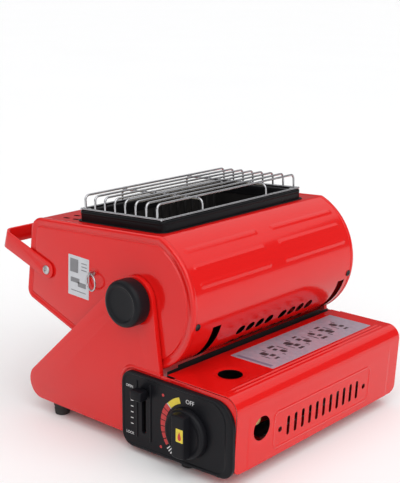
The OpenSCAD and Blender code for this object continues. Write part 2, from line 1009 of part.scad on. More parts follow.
module drum_cover() {
  color(red)
    in_head()
      difference() {
        union() {
          wrap()
            polygon([[top_edge_x - 2, 2 * drum_r], [top_edge_x - 2, 0], [seam_x, 0], [seam_x, -2 * drum_r],
                     [2 * drum_r, -2 * drum_r], [2 * drum_r, 2 * drum_r]]);
          drum_beads();
        }
        pipe_slots();
        for (a = oval_angles, row = oval_rows, i = [-1.5 : 1.5])
          on_drum(a, row + i * oval_pitch)
            translate([0, 0, drum_r])
              rotate(90)
                long_hole(oval_w, oval_len, cut);
        for (s = [-1, 1])
          on_drum(cover_screw_angle, s * (head_end - cover_screw_in))
            cylinder(d = cover_screw_d + 2 * hole_gap, h = drum_r + bead_r);
      }
}

module cover_screws() {
  color(black)
    in_head()
      for (s = [-1, 1])
        on_drum(cover_screw_angle, s * (head_end - cover_screw_in)) {
          translate([0, 0, drum_r - cover_screw_len])
            cylinder(d = cover_screw_d, h = cover_screw_len + 2 * head_seat);
          translate([0, 0, drum_r + head_seat])
            cylinder(d1 = cover_head_d, d2 = cover_head_d - 2, h = cover_head_h);
        }
}

module top_panel() {
  color(red)
    in_head()
      difference() {
        wrap()
          polygon([[-2 * heel_back, seam_z], [top_edge_x - 2, seam_z], [top_edge_x - 2, 2 * drum_r],
                   [-2 * heel_back, 2 * drum_r]]);
        block([frame_x - open_w / 2, frame_y - open_len / 2, 0],
              [frame_x + open_w / 2, frame_y + open_len / 2, 2 * drum_r]);
        for (i = [-top_vents : top_vents], row = top_vent_rows)
          translate([frame_left - row, i * top_vent_pitch, head_top])
            rotate(90)
              long_hole(top_vent_w, top_vent_len, cut);
      }
}

module belly_pan() {
  color(red)
    in_head()
      difference() {
        wrap()
          polygon([[-2 * heel_back, -2 * drum_r], [seam_x, -2 * drum_r], [seam_x, seam_z],
                   [-2 * heel_back, seam_z]]);
        pipe_slots();
      }
}

// End plate of the head, drawn for the rear end; the front one is its mirror
module end_plate() {
  difference() {
    union() {
      slab(wrap_end, head_end)
        head_outline(0);
      slab(head_end, field_y)
        head_outline(field_border);
    }
    bar_y(0, 0, stud_d / 2 + hole_gap, wrap_end - 1, field_y + 1);
    bar_y(-handle_back, handle_up, 2 + run_gap, wrap_end - 1, field_y + 1);
  }
}

module front_end_plate() {
  color(red)
    in_head()
      difference() {
        mirror([0, 1, 0])
          end_plate();
        bar_y(-pin_back, pin_up, pin_r + run_gap, -field_y - 1, -wrap_end + 1);
      }
}

module rear_end_plate() {
  color(red)
    in_head()
      end_plate();
}

// Burner

// Rectangular ring about the burner's centre, between two outlines
module burner_ring(outer, inner, z0, z1) {
  translate([frame_x, frame_y, z0])
    linear_extrude(z1 - z0)
      difference() {
        square(outer, center = true);
        square(inner, center = true);
      }
}

// Outline with round corners about the burner's centre
module burner_outline(w, len, r) {
  belt(box_ring(-w / 2, -len / 2, w / 2, len / 2, r));
}

// Pressed frame: open underneath, with a thin foot all round
module burner_frame() {
  wall = 2 * frame_wall;
  foot = 2 * frame_foot;
  color(black)
    in_head()
      translate([frame_x, frame_y, head_top])
        difference() {
          union() {
            linear_extrude(frame_h)
              burner_outline(frame_w, frame_len, frame_round);
            linear_extrude(frame_foot_t)
              burner_outline(frame_w + foot, frame_len + foot, frame_round + frame_foot);
          }
          translate([0, 0, -1])
            linear_extrude(frame_h + 2)
              burner_outline(open_w, open_len, open_round);
          translate([0, 0, -1])
            linear_extrude(1 + frame_h - frame_top_t)
              difference() {
                burner_outline(frame_w - wall, frame_len - wall, frame_round - frame_wall);
                burner_outline(open_w + wall, open_len + wall, open_round + frame_wall);
              }
        }
}

module frame_screws() {
  color(steel)
    in_head()
      for (sx = [-1, 1], sy = [-1, 1])
        translate([frame_x + sx * (open_w / 2 + frame_screw_in[0]),
                   frame_y + sy * (open_len / 2 + frame_screw_in[1]), head_top + frame_h])
          cylinder(d1 = frame_screw_d, d2 = frame_screw_top_d, h = frame_screw_h);
}

module reflector_tray() {
  rib_z = tile_z + gasket_h;
  rib_h = tray_top - rib_z;
  color(black)
    in_head() {
      burner_ring([open_w + 2 * tray_t, open_len + 2 * tray_t], [open_w, open_len], tile_z, tray_top);
      for (s = [-1, 1], i = [0 : ribs - 1])
        translate([frame_x + s * open_w / 2, frame_y + (i - (ribs - 1) / 2) * rib_pitch, rib_z])
          intersection() {
            cylinder(r = rib_r, h = rib_h);
            translate([s > 0 ? -2 * rib_r : -tray_t / 2, -2 * rib_r, -1])
              cube([2 * rib_r + tray_t / 2, 4 * rib_r, rib_h + 2]);
          }
    }
}

module burner_box() {
  rim = [open_w + 2 * tray_t, open_len + 2 * tray_t];
  body = [box_w, box_len];
  wall = [2 * sheet, 2 * sheet];
  color(steel)
    in_head()
      difference() {
        union() {
          burner_ring(rim, body - wall, tile_z - sheet, tile_z);
          burner_ring(body, body - wall, box_z, tile_z - sheet / 2);
          translate([frame_x, frame_y, box_z])
            linear_extrude(sheet)
              square(body, center = true);
        }
        block([duct_right - duct_w + sheet, duct_y - duct_len / 2 + sheet, box_z - 1],
              [duct_right - sheet, duct_y + duct_len / 2 - sheet, box_z + sheet + 1]);
      }
}

module ceramic_tiles() {
  each_len = tile_field / tile_count;
  color(cream)
    in_head()
      for (i = [0 : tile_count - 1])
        translate([frame_x, frame_y + (i - (tile_count - 1) / 2) * each_len, tile_z + tile_t / 2])
          cube([tile_w, each_len - tile_gap, tile_t], center = true);
}

module tile_gasket() {
  color(cream)
    in_head()
      difference() {
        burner_ring([open_w - tile_gap, open_len - tile_gap], [tile_w + tile_gap, tile_field + tile_gap],
                    tile_z, tile_z + gasket_h);
        translate([electrode_x, electrode_y, tile_z - 1])
          cylinder(r = electrode_r + run_gap, h = gasket_h + 2);
      }
}

module spark_electrode() {
  color(cream)
    in_head()
      translate([electrode_x, electrode_y, tile_z]) {
        cylinder(r = electrode_r, h = tile_t + electrode_rise);
        translate([0, 0, tile_t + electrode_rise - 1])
          rotate([0, -90, 0])
            cylinder(r = electrode_tip_r, h = electrode_tip_len);
      }
}

module venturi_tube() {
  mouth = pipe_y - pipe_r - jet_back + jet_h + jet_tip_h + jet_room;
  color(steel)
    in_head()
      difference() {
        union() {
          bar_y(0, 0, venturi_d / 2, mouth, duct_y + duct_len / 2);
          block([duct_right - duct_w, duct_y - duct_len / 2, 0], [duct_right, duct_y + duct_len / 2, box_z]);
        }
        bar_y(0, 0, venturi_d / 2 - sheet, mouth - 1, duct_y + duct_len / 2 - sheet);
        block([duct_right - duct_w + sheet, duct_y - duct_len / 2 + sheet, 0],
              [duct_right - sheet, duct_y + duct_len / 2 - sheet, box_z + 1]);
      }
}

// Wire bent up, over and down, in the plane of its own X and Z, standing on the base ring's top
module hoop_wire(span, rise) {
  r = wire_d / 2;
  for (s = [-1, 1]) {
    translate([s * span / 2, 0, r + weld_gap])
      cylinder(r = r, h = rise - guard_bend - r - weld_gap);
    translate([s * (span / 2 - guard_bend), 0, rise - guard_bend])
      rotate([90, 0, 0])
        rotate(s > 0 ? 0 : 90)
          rotate_extrude(angle = 90)
            translate([guard_bend, 0])
              circle(r = r);
  }
  translate([-span / 2 + guard_bend, 0, rise])
    rotate([0, 90, 0])
      cylinder(r = r, h = span - 2 * guard_bend);
}

// The guard's own frame: middle of its base ring, on the burner frame's top
module at_guard() {
  in_head()
    translate([frame_x, frame_y, ring_z])
      children();
}

module guard_ring() {
  r = wire_d / 2;
  side = ring_w - wire_d - 2 * weld_gap;
  color(steel)
    at_guard()
      for (s = [-1, 1]) {
        translate([s * ring_w / 2, ring_len / 2 + r, 0])
          rotate([90, 0, 0])
            cylinder(r = r, h = ring_len + wire_d);
        translate([-side / 2, s * ring_len / 2, 0])
          rotate([0, 90, 0])
            cylinder(r = r, h = side);
      }
}

module guard_wires() {
  color(steel)
    at_guard()
      for (i = [0 : wire_count - 1])
        translate([(i / (wire_count - 1) - 0.5) * wire_span, 0, 0])
          rotate(90)
            hoop_wire(ring_len, guard_h);
}

module guard_cross_wires() {
  color(steel)
    at_guard()
      for (s = [-1, 1])
        translate([0, s * cross_off, 0])
          hoop_wire(ring_w, guard_h - wire_d - weld_gap);
}

// Pivots, clamp knobs and handle

// Bush on the rear end plate; the front one is its mirror
module pivot_bush() {
  difference() {
    union() {
      bar_y(0, 0, bush_flange_r, field_y, bush_seat);
      bar_y(0, 0, journal_d / 2, bush_seat, bush_end);
    }
    bar_y(0, 0, stud_d / 2 + run_gap, field_y - 1, bush_end + 1);
  }
}

module front_pivot_bush() {
  color(steel)
    in_head()
      mirror([0, 1, 0])
        pivot_bush();
}

module rear_pivot_bush() {
  color(steel)
    in_head()
      pivot_bush();
}

// Clamp knob for the rear end, with a dished face; the front one is its mirror
module clamp_knob() {
  r = clamp_d / 2;
  difference() {
    translate([0, clamp_back, 0])
      rotate([-90, 0, 0])
        difference() {
          rotate_extrude()
            difference() {
              union() {
                square([r - clamp_step[0], clamp_h - clamp_step[0]]);
                translate([0, clamp_step[1]])
                  square([r, clamp_h - clamp_step[1] - clamp_round]);
                square([r - clamp_round, clamp_h]);
                translate([r - clamp_round, clamp_h - clamp_round])
                  circle(r = clamp_round);
              }
              translate([-r, -1])
                square([r, clamp_h + 2]);
              translate([r + tuck / 2, clamp_h - clamp_round])
                square([clamp_round, clamp_round]);
            }
          translate([0, 0, clamp_h + 4 * r - clamp_dish])
            sphere(r = 4 * r);
        }
    bar_y(0, 0, stud_d / 2 + run_gap, clamp_back - 1, clamp_back + clamp_h - stud_tip);
  }
}

module clamp_stud() {
  bar_y(0, 0, stud_d / 2, stud_end, clamp_back + clamp_h - stud_tip);
}

module front_clamp_knob() {
  color(black)
    in_head()
      mirror([0, 1, 0])
        clamp_knob();
}

module rear_clamp_knob() {
  color(black)
    in_head()
      clamp_knob();
}

module front_clamp_stud() {
  color(steel)
    in_head()
      mirror([0, 1, 0])
        clamp_stud();
}

module rear_clamp_stud() {
  color(steel)
    in_head()
      clamp_stud();
}

module at_handle() {
  in_head()
    translate([-handle_back, 0, handle_up])
      children();
}

module handle_screws() {
  color(steel)
    at_handle()
      for (m = [0, 1])
        mirror([0, m, 0]) {
          bar_y(0, 0, handle_shank_r, wrap_end - handle_shank_in, field_y);
          bar_y(0, 0, handle_screw_r, field_y, strap_out + gap);
          bar_y(0, 0, handle_head_r, strap_out + gap, strap_out + gap + handle_head_h);
        }
}

// Bent strap: two legs outside the end plates and a cross bar behind the head
module handle_strap() {
  corner = handle_reach - strap_bend;
  color(red)
    at_handle()
      rotate([0, handle_rise, 0])
        difference() {
          union() {
            for (m = [0, 1])
              mirror([0, m, 0]) {
                block([-corner, strap_in, -strap_w / 2], [0, strap_out, strap_w / 2]);
                bar_y(0, 0, strap_w / 2, strap_in, strap_out);
                translate([-corner, strap_out - strap_bend, -strap_w / 2])
                  linear_extrude(strap_w)
                    intersection() {
                      difference() {
                        circle(r = strap_bend);
                        circle(r = strap_bend - strap_t);
                      }
                      translate([-2 * strap_bend, 0])
                        square(2 * strap_bend);
                    }
              }
            block([-handle_reach, -strap_out + strap_bend, -strap_w / 2],
                  [-handle_reach + strap_t, strap_out - strap_bend, strap_w / 2]);
          }
          bar_y(0, 0, handle_screw_r + run_gap, -strap_out - 1, strap_out + 1);
        }
}

// Middle of the stop pin's eye, upright and turned as the ring hangs
module at_eye() {
  in_head()
    translate([-pin_back, -eye_y, pin_up])
      rotate([0, head_lean, 0])
        rotate(ring_turn)
          children();
}

module stop_pin() {
  color(steel)
    difference() {
      union() {
        in_head()
          bar_y(-pin_back, pin_up, pin_r, -field_y - eye_base, -wrap_end + pin_in);
        at_eye()
          block([-eye_t / 2, -eye_h / 2, -eye_h / 2],
                [eye_t / 2, eye_y - field_y - eye_base / 2, eye_h / 2]);
      }
      at_eye()
        rotate([0, 90, 0])
          cylinder(r = eye_hole_r, h = 2 * eye_t, center = true);
    }
}

// The ring hangs straight down from the eye of the stop pin
module pull_ring() {
  color(steel)
    at_eye()
      translate([0, 0, -ring_r])
        rotate([90, 0, 0])
          rotate_extrude()
            translate([ring_r, 0])
              circle(d = ring_d);
}

base_pan();
front_side_plate();
rear_side_plate();
bay_wall();
heat_shield();
rubber_feet();
foot_screws();
control_panel();
lever_guide();
regulator_body();
canister_socket();
inlet_nozzle();
adjuster_plug();
piezo_igniter();
gas_pipe();
gas_jet();
lid_hinge_pin();
drum_cover();
top_panel();
belly_pan();
front_end_plate();
rear_end_plate();
cover_screws();
burner_frame();
frame_screws();
reflector_tray();
burner_box();
ceramic_tiles();
tile_gasket();
venturi_tube();
spark_electrode();
guard_ring();
guard_wires();
guard_cross_wires();
front_pivot_bush();
rear_pivot_bush();
stop_pin();
handle_screws();
canister_lid();
control_knob();
valve_spindle();
lock_lever();
canister_carriage();
front_clamp_knob();
front_clamp_stud();
rear_clamp_knob();
rear_clamp_stud();
handle_strap();
pull_ring();
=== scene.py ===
import bpy
import bmesh
import json
import math
from contextlib import contextmanager
from mathutils import Matrix, Vector


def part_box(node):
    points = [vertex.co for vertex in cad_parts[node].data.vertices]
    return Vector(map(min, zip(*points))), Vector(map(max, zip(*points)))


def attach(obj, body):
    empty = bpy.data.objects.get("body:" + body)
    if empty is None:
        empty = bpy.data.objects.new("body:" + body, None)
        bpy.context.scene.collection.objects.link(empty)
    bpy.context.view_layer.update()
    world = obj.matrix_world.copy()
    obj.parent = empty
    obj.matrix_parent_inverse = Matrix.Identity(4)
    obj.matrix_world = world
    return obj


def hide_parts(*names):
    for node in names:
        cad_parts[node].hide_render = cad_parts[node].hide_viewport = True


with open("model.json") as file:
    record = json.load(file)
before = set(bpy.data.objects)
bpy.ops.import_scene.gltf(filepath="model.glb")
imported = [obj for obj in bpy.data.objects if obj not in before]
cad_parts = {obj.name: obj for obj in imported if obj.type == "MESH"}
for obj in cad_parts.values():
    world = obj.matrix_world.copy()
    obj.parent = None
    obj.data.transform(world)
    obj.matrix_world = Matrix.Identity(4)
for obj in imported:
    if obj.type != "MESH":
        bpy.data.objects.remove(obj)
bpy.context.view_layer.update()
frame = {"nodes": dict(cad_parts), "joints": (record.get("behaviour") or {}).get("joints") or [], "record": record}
mm = 0.001
inMillimetres = Matrix.Scale(mm, 4)
record = frame["record"]
bodyOf = {node: body for body, members in record["behaviour"]["bodies"].items() for node in members}
slotOf = {row["node"]: row["material_slot"] for row in record["subparts"]}
jointAt = {joint["name"]: Vector(joint.get("pos_m", (0, 0, 0))) for joint in frame["joints"]}
print("frame loaded,", len(frame["nodes"]), "CAD nodes")


def boxOf(node):  # a CAD node's box in millimetres
    return [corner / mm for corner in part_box(node)]


def linked(name, data):  # a new object, in the scene
    thing = bpy.data.objects.new(name, data)
    bpy.context.scene.collection.objects.link(thing)
    return thing


# the photograph's view, fitted to the heater's own edges
viewpoint = {
    "place": (0.69614, -0.79119, 0.44779),
    "azimuth": 41.35,
    "elevation": 14.289,
    "roll": 0.428,
    "focalPixels": 1028.8,
    "imageHeight": 483,
    "sensorHeight": 36.0,
}


def setCamera():
    azimuth, elevation, roll = (math.radians(viewpoint[key]) for key in ("azimuth", "elevation", "roll"))
    back = Vector((math.sin(azimuth) * math.cos(elevation), -math.cos(azimuth) * math.cos(elevation),
                   math.sin(elevation)))
    right = Vector((math.cos(azimuth), math.sin(azimuth), 0))
    up = back.cross(right)
    across = math.cos(roll) * right + math.sin(roll) * up
    upright = -math.sin(roll) * right + math.cos(roll) * up
    data = bpy.data.cameras.new("photoView")
    data.sensor_fit = "VERTICAL"
    data.sensor_height = viewpoint["sensorHeight"]
    data.lens = viewpoint["sensorHeight"] * viewpoint["focalPixels"] / viewpoint["imageHeight"]
    camera = linked("photoView", data)
    turn = Matrix((across, upright, back)).transposed()
    camera.matrix_world = Matrix.Translation(viewpoint["place"]) @ turn.to_4x4()
    bpy.context.scene.camera = camera


setCamera()
print("camera set")


# one socket of a node tree, with Python's operators as Math nodes
class Wire:
    def __init__(self, tree, socket=None):
        self.tree = tree
        self.socket = socket

    def add(self, kind, settings=None, sockets=None, out=0):
        made = self.tree.nodes.new(kind)
        for key, value in (settings or {}).items():
            setattr(made, key, value)
        for key, value in (sockets or {}).items():
            if isinstance(value, Wire):
                self.tree.links.new(value.socket, made.inputs[key])
            else:
                made.inputs[key].default_value = value
        return Wire(self.tree, made.outputs[out])

    def maths(self, operation, first, second):
        return self.add("ShaderNodeMath", {"operation": operation}, {0: first, 1: second})

    def __add__(self, other):
        return self.maths("ADD", self, other)

    def __radd__(self, other):
        return self.maths("ADD", other, self)

    def __sub__(self, other):
        return self.maths("SUBTRACT", self, other)

    def __rsub__(self, other):
        return self.maths("SUBTRACT", other, self)

    def __mul__(self, other):
        return self.maths("MULTIPLY", self, other)

    def __rmul__(self, other):
        return self.maths("MULTIPLY", other, self)


# a material's tools: its tree, its shader and the piece's own coordinates
class Finish:
    def __init__(self, name, constants):
        self.material = bpy.data.materials.new(name)
        self.material.use_nodes = True
        self.tree = self.material.node_tree
        self.shader = self.tree.nodes["Principled BSDF"]
        for key, value in constants.items():
            self.shader.inputs[key].default_value = value
        self.start = Wire(self.tree)
        self.place = self.start.add("ShaderNodeTexCoord", out="Object")

    def stretched(self, scale):
        return self.start.add("ShaderNodeMapping", {}, {"Vector": self.place, "Scale": scale})

    def noise(self, scale, detail=2.0, roughness=0.5, vector=None):
        sockets = {"Vector": vector or self.place, "Scale": scale, "Detail": detail, "Roughness": roughness}
        return self.start.add("ShaderNodeTexNoise", {}, sockets, out="Fac")

    def blend(self, factor, first, second):
        sockets = {0: factor, 6: first, 7: second}
        return self.start.add("ShaderNodeMix", {"data_type": "RGBA"}, sockets, out=2)

    def bump(self, height, strength, distance):
        sockets = {"Height": height, "Strength": strength, "Distance": distance}
        return self.start.add("ShaderNodeBump", {}, sockets)

    def wear(self, **links):
        for key, wire in links.items():
            self.tree.links.new(wire.socket, self.shader.inputs[key.replace("_", " ")])
        return self.material


# two colours mixed by a noise, a roughness that wanders, and a fine grain under the gloss
def makeFinish(look):
    coat = Finish(look["name"], look.get("shader", {}))
    noises = {}
    for layer in ("cloud", "mottle", "grain"):
        if layer in look:
            drawn = coat.stretched(look["drawn"]) if layer == "grain" and look.get("drawn") else None
            noises[layer] = coat.noise(*look[layer], vector=drawn)
    level, swing, layer = look["roughness"]
    colour = coat.blend(noises[look.get("mixedBy", "cloud")], *look["colours"])
    links = {"Base_Color": colour, "Roughness": level + swing * noises[layer]}
    if "bump" in look:
        links["Normal"] = coat.bump(noises["grain"], *look["bump"])
    return coat.wear(**links)


def metalLook(name, dark, light, level, drawn=None, metallic=1.0):  # plated or turned metal
    return {"name": name, "shader": {"Metallic": metallic}, "colours": (dark, light), "cloud": (70.0, 3.0),
            "grain": (260.0, 3.0, 0.6), "drawn": drawn, "roughness": (level, 0.14, "grain"),
            "bump": (0.08, 0.0002)}


def inkLook(name, dark, light, level=0.45, metallic=0.0):  # printed ink or film, a little uneven
    return {"name": name, "shader": {"Metallic": metallic}, "colours": (dark, light), "cloud": (180.0, 3.0),
            "grain": (900.0,), "roughness": (level, 0.1, "cloud"), "bump": (0.02, 0.0002)}


# noises are scale, detail and roughness; roughness is level, swing and the noise that moves it
finishLooks = {
    "red_enamel": {
        "name": "redEnamel", "shader": {"IOR": 1.46},
        "colours": ((0.62, 0.005, 0.005, 1), (0.69, 0.009, 0.007, 1)),
        "cloud": (9.0, 3.0), "mottle": (140.0, 2.0), "grain": (700.0, 2.0, 0.4),  # orange peel
        "roughness": (0.11, 0.06, "mottle"), "bump": (0.02, 0.0004),
    },
    "black_enamel": {
        "name": "blackEnamel", "shader": {"Specular IOR Level": 0.08},
        "colours": ((0.004, 0.004, 0.005, 1), (0.009, 0.009, 0.010, 1)),
        "cloud": (30.0, 3.0), "grain": (520.0, 2.0),
        "roughness": (0.13, 0.08, "cloud"), "bump": (0.04, 0.0004),
    },
    "black_plastic": {
        "name": "mouldedBlack", "shader": {"Specular IOR Level": 0.14},
        "colours": ((0.005, 0.005, 0.007, 1), (0.010, 0.010, 0.012, 1)),
        "cloud": (22.0, 2.0), "grain": (1500.0, 3.0, 0.6),  # spark-eroded mould
        "roughness": (0.30, 0.12, "grain"), "bump": (0.12, 0.0002),
    },
    "rubber": {
        "name": "footRubber",
        "colours": ((0.012, 0.012, 0.012, 1), (0.028, 0.027, 0.026, 1)),
        "cloud": (60.0, 4.0), "grain": (800.0, 2.0),
        "roughness": (0.72, 0.15, "grain"), "bump": (0.35, 0.0003),
    },
    "zinc_steel": metalLook("zincSteel", (0.46, 0.47, 0.48, 1), (0.60, 0.60, 0.60, 1), 0.24,
                            drawn=(1.0, 0.12, 1.0)),
    "black_screw": metalLook("blackScrew", (0.03, 0.03, 0.03, 1), (0.06, 0.06, 0.06, 1), 0.30),
    "cast_alloy": metalLook("castAlloy", (0.40, 0.40, 0.41, 1), (0.55, 0.55, 0.55, 1), 0.42),
    "brass": metalLook("turnedBrass", (0.74, 0.54, 0.20, 1), (0.90, 0.70, 0.32, 1), 0.40, metallic=0.6),
    "chrome_wire": metalLook("chromeWire", (0.36, 0.36, 0.38, 1), (0.56, 0.56, 0.57, 1), 0.10),
    "burner_ceramic": {
        "name": "burnerCeramic",
        "colours": ((0.62, 0.54, 0.42, 1), (0.74, 0.68, 0.57, 1)),
        "cloud": (45.0, 4.0), "grain": (700.0, 3.0),
        "roughness": (0.80, 0.12, "grain"), "bump": (0.4, 0.0003),
    },
    "gasket": {
        "name": "fibreGasket",
        "colours": ((0.42, 0.40, 0.36, 1), (0.70, 0.68, 0.63, 1)),
        "grain": (240.0, 5.0, 0.7), "drawn": (1.0, 0.35, 1.0), "mixedBy": "grain",
        "roughness": (0.85, 0.10, "grain"), "bump": (0.6, 0.0005),
    },
}
# painted shade: a near-black for deep gaps, the lever's slot and the inside of the head, standing in for the
# shadow there
shadeBlackLook = {
    "name": "heatProofBlack", "shader": {"Specular IOR Level": 0.12},
    "colours": ((0.005, 0.005, 0.006, 1), (0.014, 0.013, 0.013, 1)),
    "cloud": (38.0, 4.0, 0.6), "grain": (900.0, 2.0),
    "roughness": (0.34, 0.16, "cloud"), "bump": (0.18, 0.0003),
}
floorLook = {
    "name": "paleFloor", "shader": {"Specular IOR Level": 0.15},
    "colours": ((0.90, 0.90, 0.90, 1), (0.92, 0.92, 0.92, 1)),
    "cloud": (1.5, 3.0), "roughness": (0.75, 0.1, "cloud"),
}
inkLooks = {
    "white": inkLook("whiteInk", (0.62, 0.62, 0.62, 1), (0.78, 0.78, 0.78, 1)),
    "grey": inkLook("greyInk", (0.16, 0.16, 0.17, 1), (0.24, 0.24, 0.25, 1)),
    "red": inkLook("redInk", (0.44, 0.02, 0.02, 1), (0.58, 0.03, 0.03, 1)),
    "yellow": inkLook("yellowInk", (0.62, 0.47, 0.03, 1), (0.80, 0.64, 0.05, 1)),
    "paper": inkLook("labelPaper", (0.50, 0.51, 0.54, 1), (0.60, 0.61, 0.63, 1)),
    # silver film; its lilac tint is partly painted reflection of the red drum
    "film": inkLook("silverFilm", (0.36, 0.29, 0.36, 1), (0.47, 0.40, 0.47, 1), 0.16, 0.10),
    "dark": inkLook("darkInk", (0.03, 0.022, 0.026, 1), (0.07, 0.05, 0.06, 1)),
    "lilac": inkLook("lilacInk", (0.15, 0.12, 0.18, 1), (0.22, 0.18, 0.25, 1)),
}
finishes = {slot: makeFinish(look) for slot, look in finishLooks.items()}
inks = {ink: makeFinish(look) for ink, look in inkLooks.items()}
shadeBlack = makeFinish(shadeBlackLook)
redEnamel, blackPlastic = finishes["red_enamel"], finishes["black_plastic"]
print("finishes ready,", len(finishes) + len(inks) + 1)


# mesh tools

alongX, alongY, upwards = Vector((1, 0, 0)), Vector((0, 1, 0)), Vector((0, 0, 1))


@contextmanager
def meshWork(mesh, *sources):  # rework a mesh, or make it from other meshes
    work = bmesh.new()
    for source in sources or (mesh,):
        work.from_mesh(source)
    yield work
    work.to_mesh(mesh)
    work.free()


def shade(piece, smoothAngle):
    piece.data.shade_smooth()
    piece.data.set_sharp_from_angle(angle=math.radians(smoothAngle))


def newPiece(name, points, faces, material, smoothAngle=32, edges=()):
    mesh = bpy.data.meshes.new(name)
    mesh.from_pydata([tuple(point) for point in points], edges, faces)
    mesh.materials.append(material)
    piece = linked(name, mesh)
    shade(piece, smoothAngle)
    return piece


def settle(piece):  # keep what the modifiers make, as a plain mesh
    graph = bpy.context.evaluated_depsgraph_get()
    mesh = bpy.data.meshes.new_from_object(piece.evaluated_get(graph))
    piece.modifiers.clear()
    piece.data = mesh


def turnOutwards(piece):
    with meshWork(piece.data) as work:
        bmesh.ops.remove_doubles(work, verts=work.verts, dist=1e-6)
        bmesh.ops.recalc_face_normals(work, faces=work.faces)


def joined(name, pieces):
    first = pieces[0]
    with meshWork(first.data, *[piece.data for piece in pieces]):
        pass
    for piece in pieces[1:]:
        bpy.data.objects.remove(piece)
    first.name = name
    return first


def loft(name, rings, material, smoothAngle=32, endless=False):  # rings of equal count, capped or joined up
    count = len(rings[0])
    points = [point for ring in rings for point in ring]
    faces = [] if endless else [list(range(count)), list(range(len(points) - count, len(points)))]
    for row in range(len(rings) if endless else len(rings) - 1):
        here, there = row * count, (row + 1) % len(rings) * count
        for step in range(count):
            after = (step + 1) % count
            faces.append([here + step, here + after, there + after, there + step])
    piece = newPiece(name, points, faces, material, smoothAngle)
    turnOutwards(piece)
    shade(piece, smoothAngle)
    return piece


def disc(radius, sides):
    turns = [2 * math.pi * step / sides for step in range(sides)]
    return [(radius * math.cos(turn), radius * math.sin(turn)) for turn in turns]


def lathe(name, profile, place, material, sides=72, smoothAngle=32):  # profile of (radius, height)
    rings = [[place @ Vector((x, y, height)) for x, y in disc(radius, sides)] for radius, height in profile]
    return loft(name, rings, material, smoothAngle)


def roundBlock(name, low, high, radius, place, material, segments=3):
    middle = (Vector(low) + Vector(high)) / 2
    size = Vector(high) - Vector(low)
    piece = newPiece(name, [], [], material)
    with meshWork(piece.data) as work:
        bmesh.ops.create_cube(work, size=1, matrix=Matrix.Translation(middle) @ Matrix.Diagonal((*size, 1)))
        bmesh.ops.bevel(work, geom=work.edges[:], offset=radius, segments=segments, profile=0.5,
                        affect="EDGES")
        bmesh.ops.transform(work, matrix=place, verts=work.verts)
    turnOutwards(piece)
    shade(piece, 40)
    return piece


def longHole(width, length, sides=10):  # round-ended outline in a plane, length along the second axis
    half = (length - width) / 2
    outline = []
    for end in (1, -1):
        for step in range(sides + 1):
            angle = math.pi * step / sides + (0 if end > 0 else math.pi)
            outline.append((width / 2 * math.cos(angle), end * half + width / 2 * math.sin(angle)))
    return outline


def arc(circle, start, end, steps, inset=0.0):  # rows of (x, z, outward x, outward z)
    path = []
    for step in range(steps + 1):
        angle = math.radians(start + (end - start) * step / steps)
        nx, nz = math.cos(angle), math.sin(angle)
        radius = circle[2] - inset
        path.append((circle[0] + radius * nx, circle[1] + radius * nz, nx, nz))
    return path


def roundRect(x, z, width, tall, corner):
    outline = []
    for sx, sz, start in ((1, 1, 0), (-1, 1, 90), (-1, -1, 180), (1, -1, 270)):
        circle = (x + sx * (width / 2 - corner), z + sz * (tall / 2 - corner), corner)
        outline += [(a, b) for a, b, nx, nz in arc(circle, start, start + 90, 6)]
    return outline


def facing(side, x, y, z):  # a turned piece's axis points to the front, -1, or to the rear, 1
    return (Matrix.Translation(Vector((x, y, z)) * mm) @ Matrix.Rotation(math.radians(-90 * side), 4, "X")
            @ inMillimetres)


def punch(outline, axis, span, place):  # cutter between two copies of an outline, moved along an axis
    rings = [[place @ (point + axis * reach) for point in outline] for reach in span]
    return loft("punch", rings, shadeBlack)


def cutWith(piece, cutters):
    cutter = joined("cutter", cutters)
    modifier = piece.modifiers.new("cut", "BOOLEAN")
    modifier.operation = "DIFFERENCE"
    modifier.solver = "EXACT"
    modifier.object = cutter
    settle(piece)
    bpy.data.objects.remove(cutter)


def fix(piece, body):  # a piece on its body
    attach(piece, body)


def seat(piece, node):  # a piece that stands for a CAD node
    fix(piece, bodyOf[node])
    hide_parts(node)


def spread(low, high, step, *fine, nearest=0.2):  # places from low to high, closer in the fine stretches
    low, high = round(low, 4), round(high, 4)
    places = {low, high}
    for start, end, pace in [(low, high, step)] + list(fine):
        count = max(1, round((end - start) / pace))
        places |= {round(start + (end - start) * index / count, 4) for index in range(count + 1)}
    inside = sorted(place for place in places if low <= place <= high)
    kept = [inside[0]]
    for place in inside[1:]:
        if place - kept[-1] > nearest:
            kept.append(place)
    kept[-1] = inside[-1]
    return kept


def inRow(count, pitch):  # places in a row about 0
    return [(index - (count - 1) / 2) * pitch for index in range(count)]


def softRidge(distance, halfWidth):  # 1 on the ridge's line, 0 past its half width
    if distance >= halfWidth:
        return 0.0
    return 0.5 + 0.5 * math.cos(math.pi * distance / halfWidth)


def softStep(value, start, end):
    share = min(1.0, max(0.0, (value - start) / (end - start)))
    return share * share * (3 - 2 * share)


def flat(step, y):  # a sheet without pressings
    return 0.0


sheetThickness = 0.8


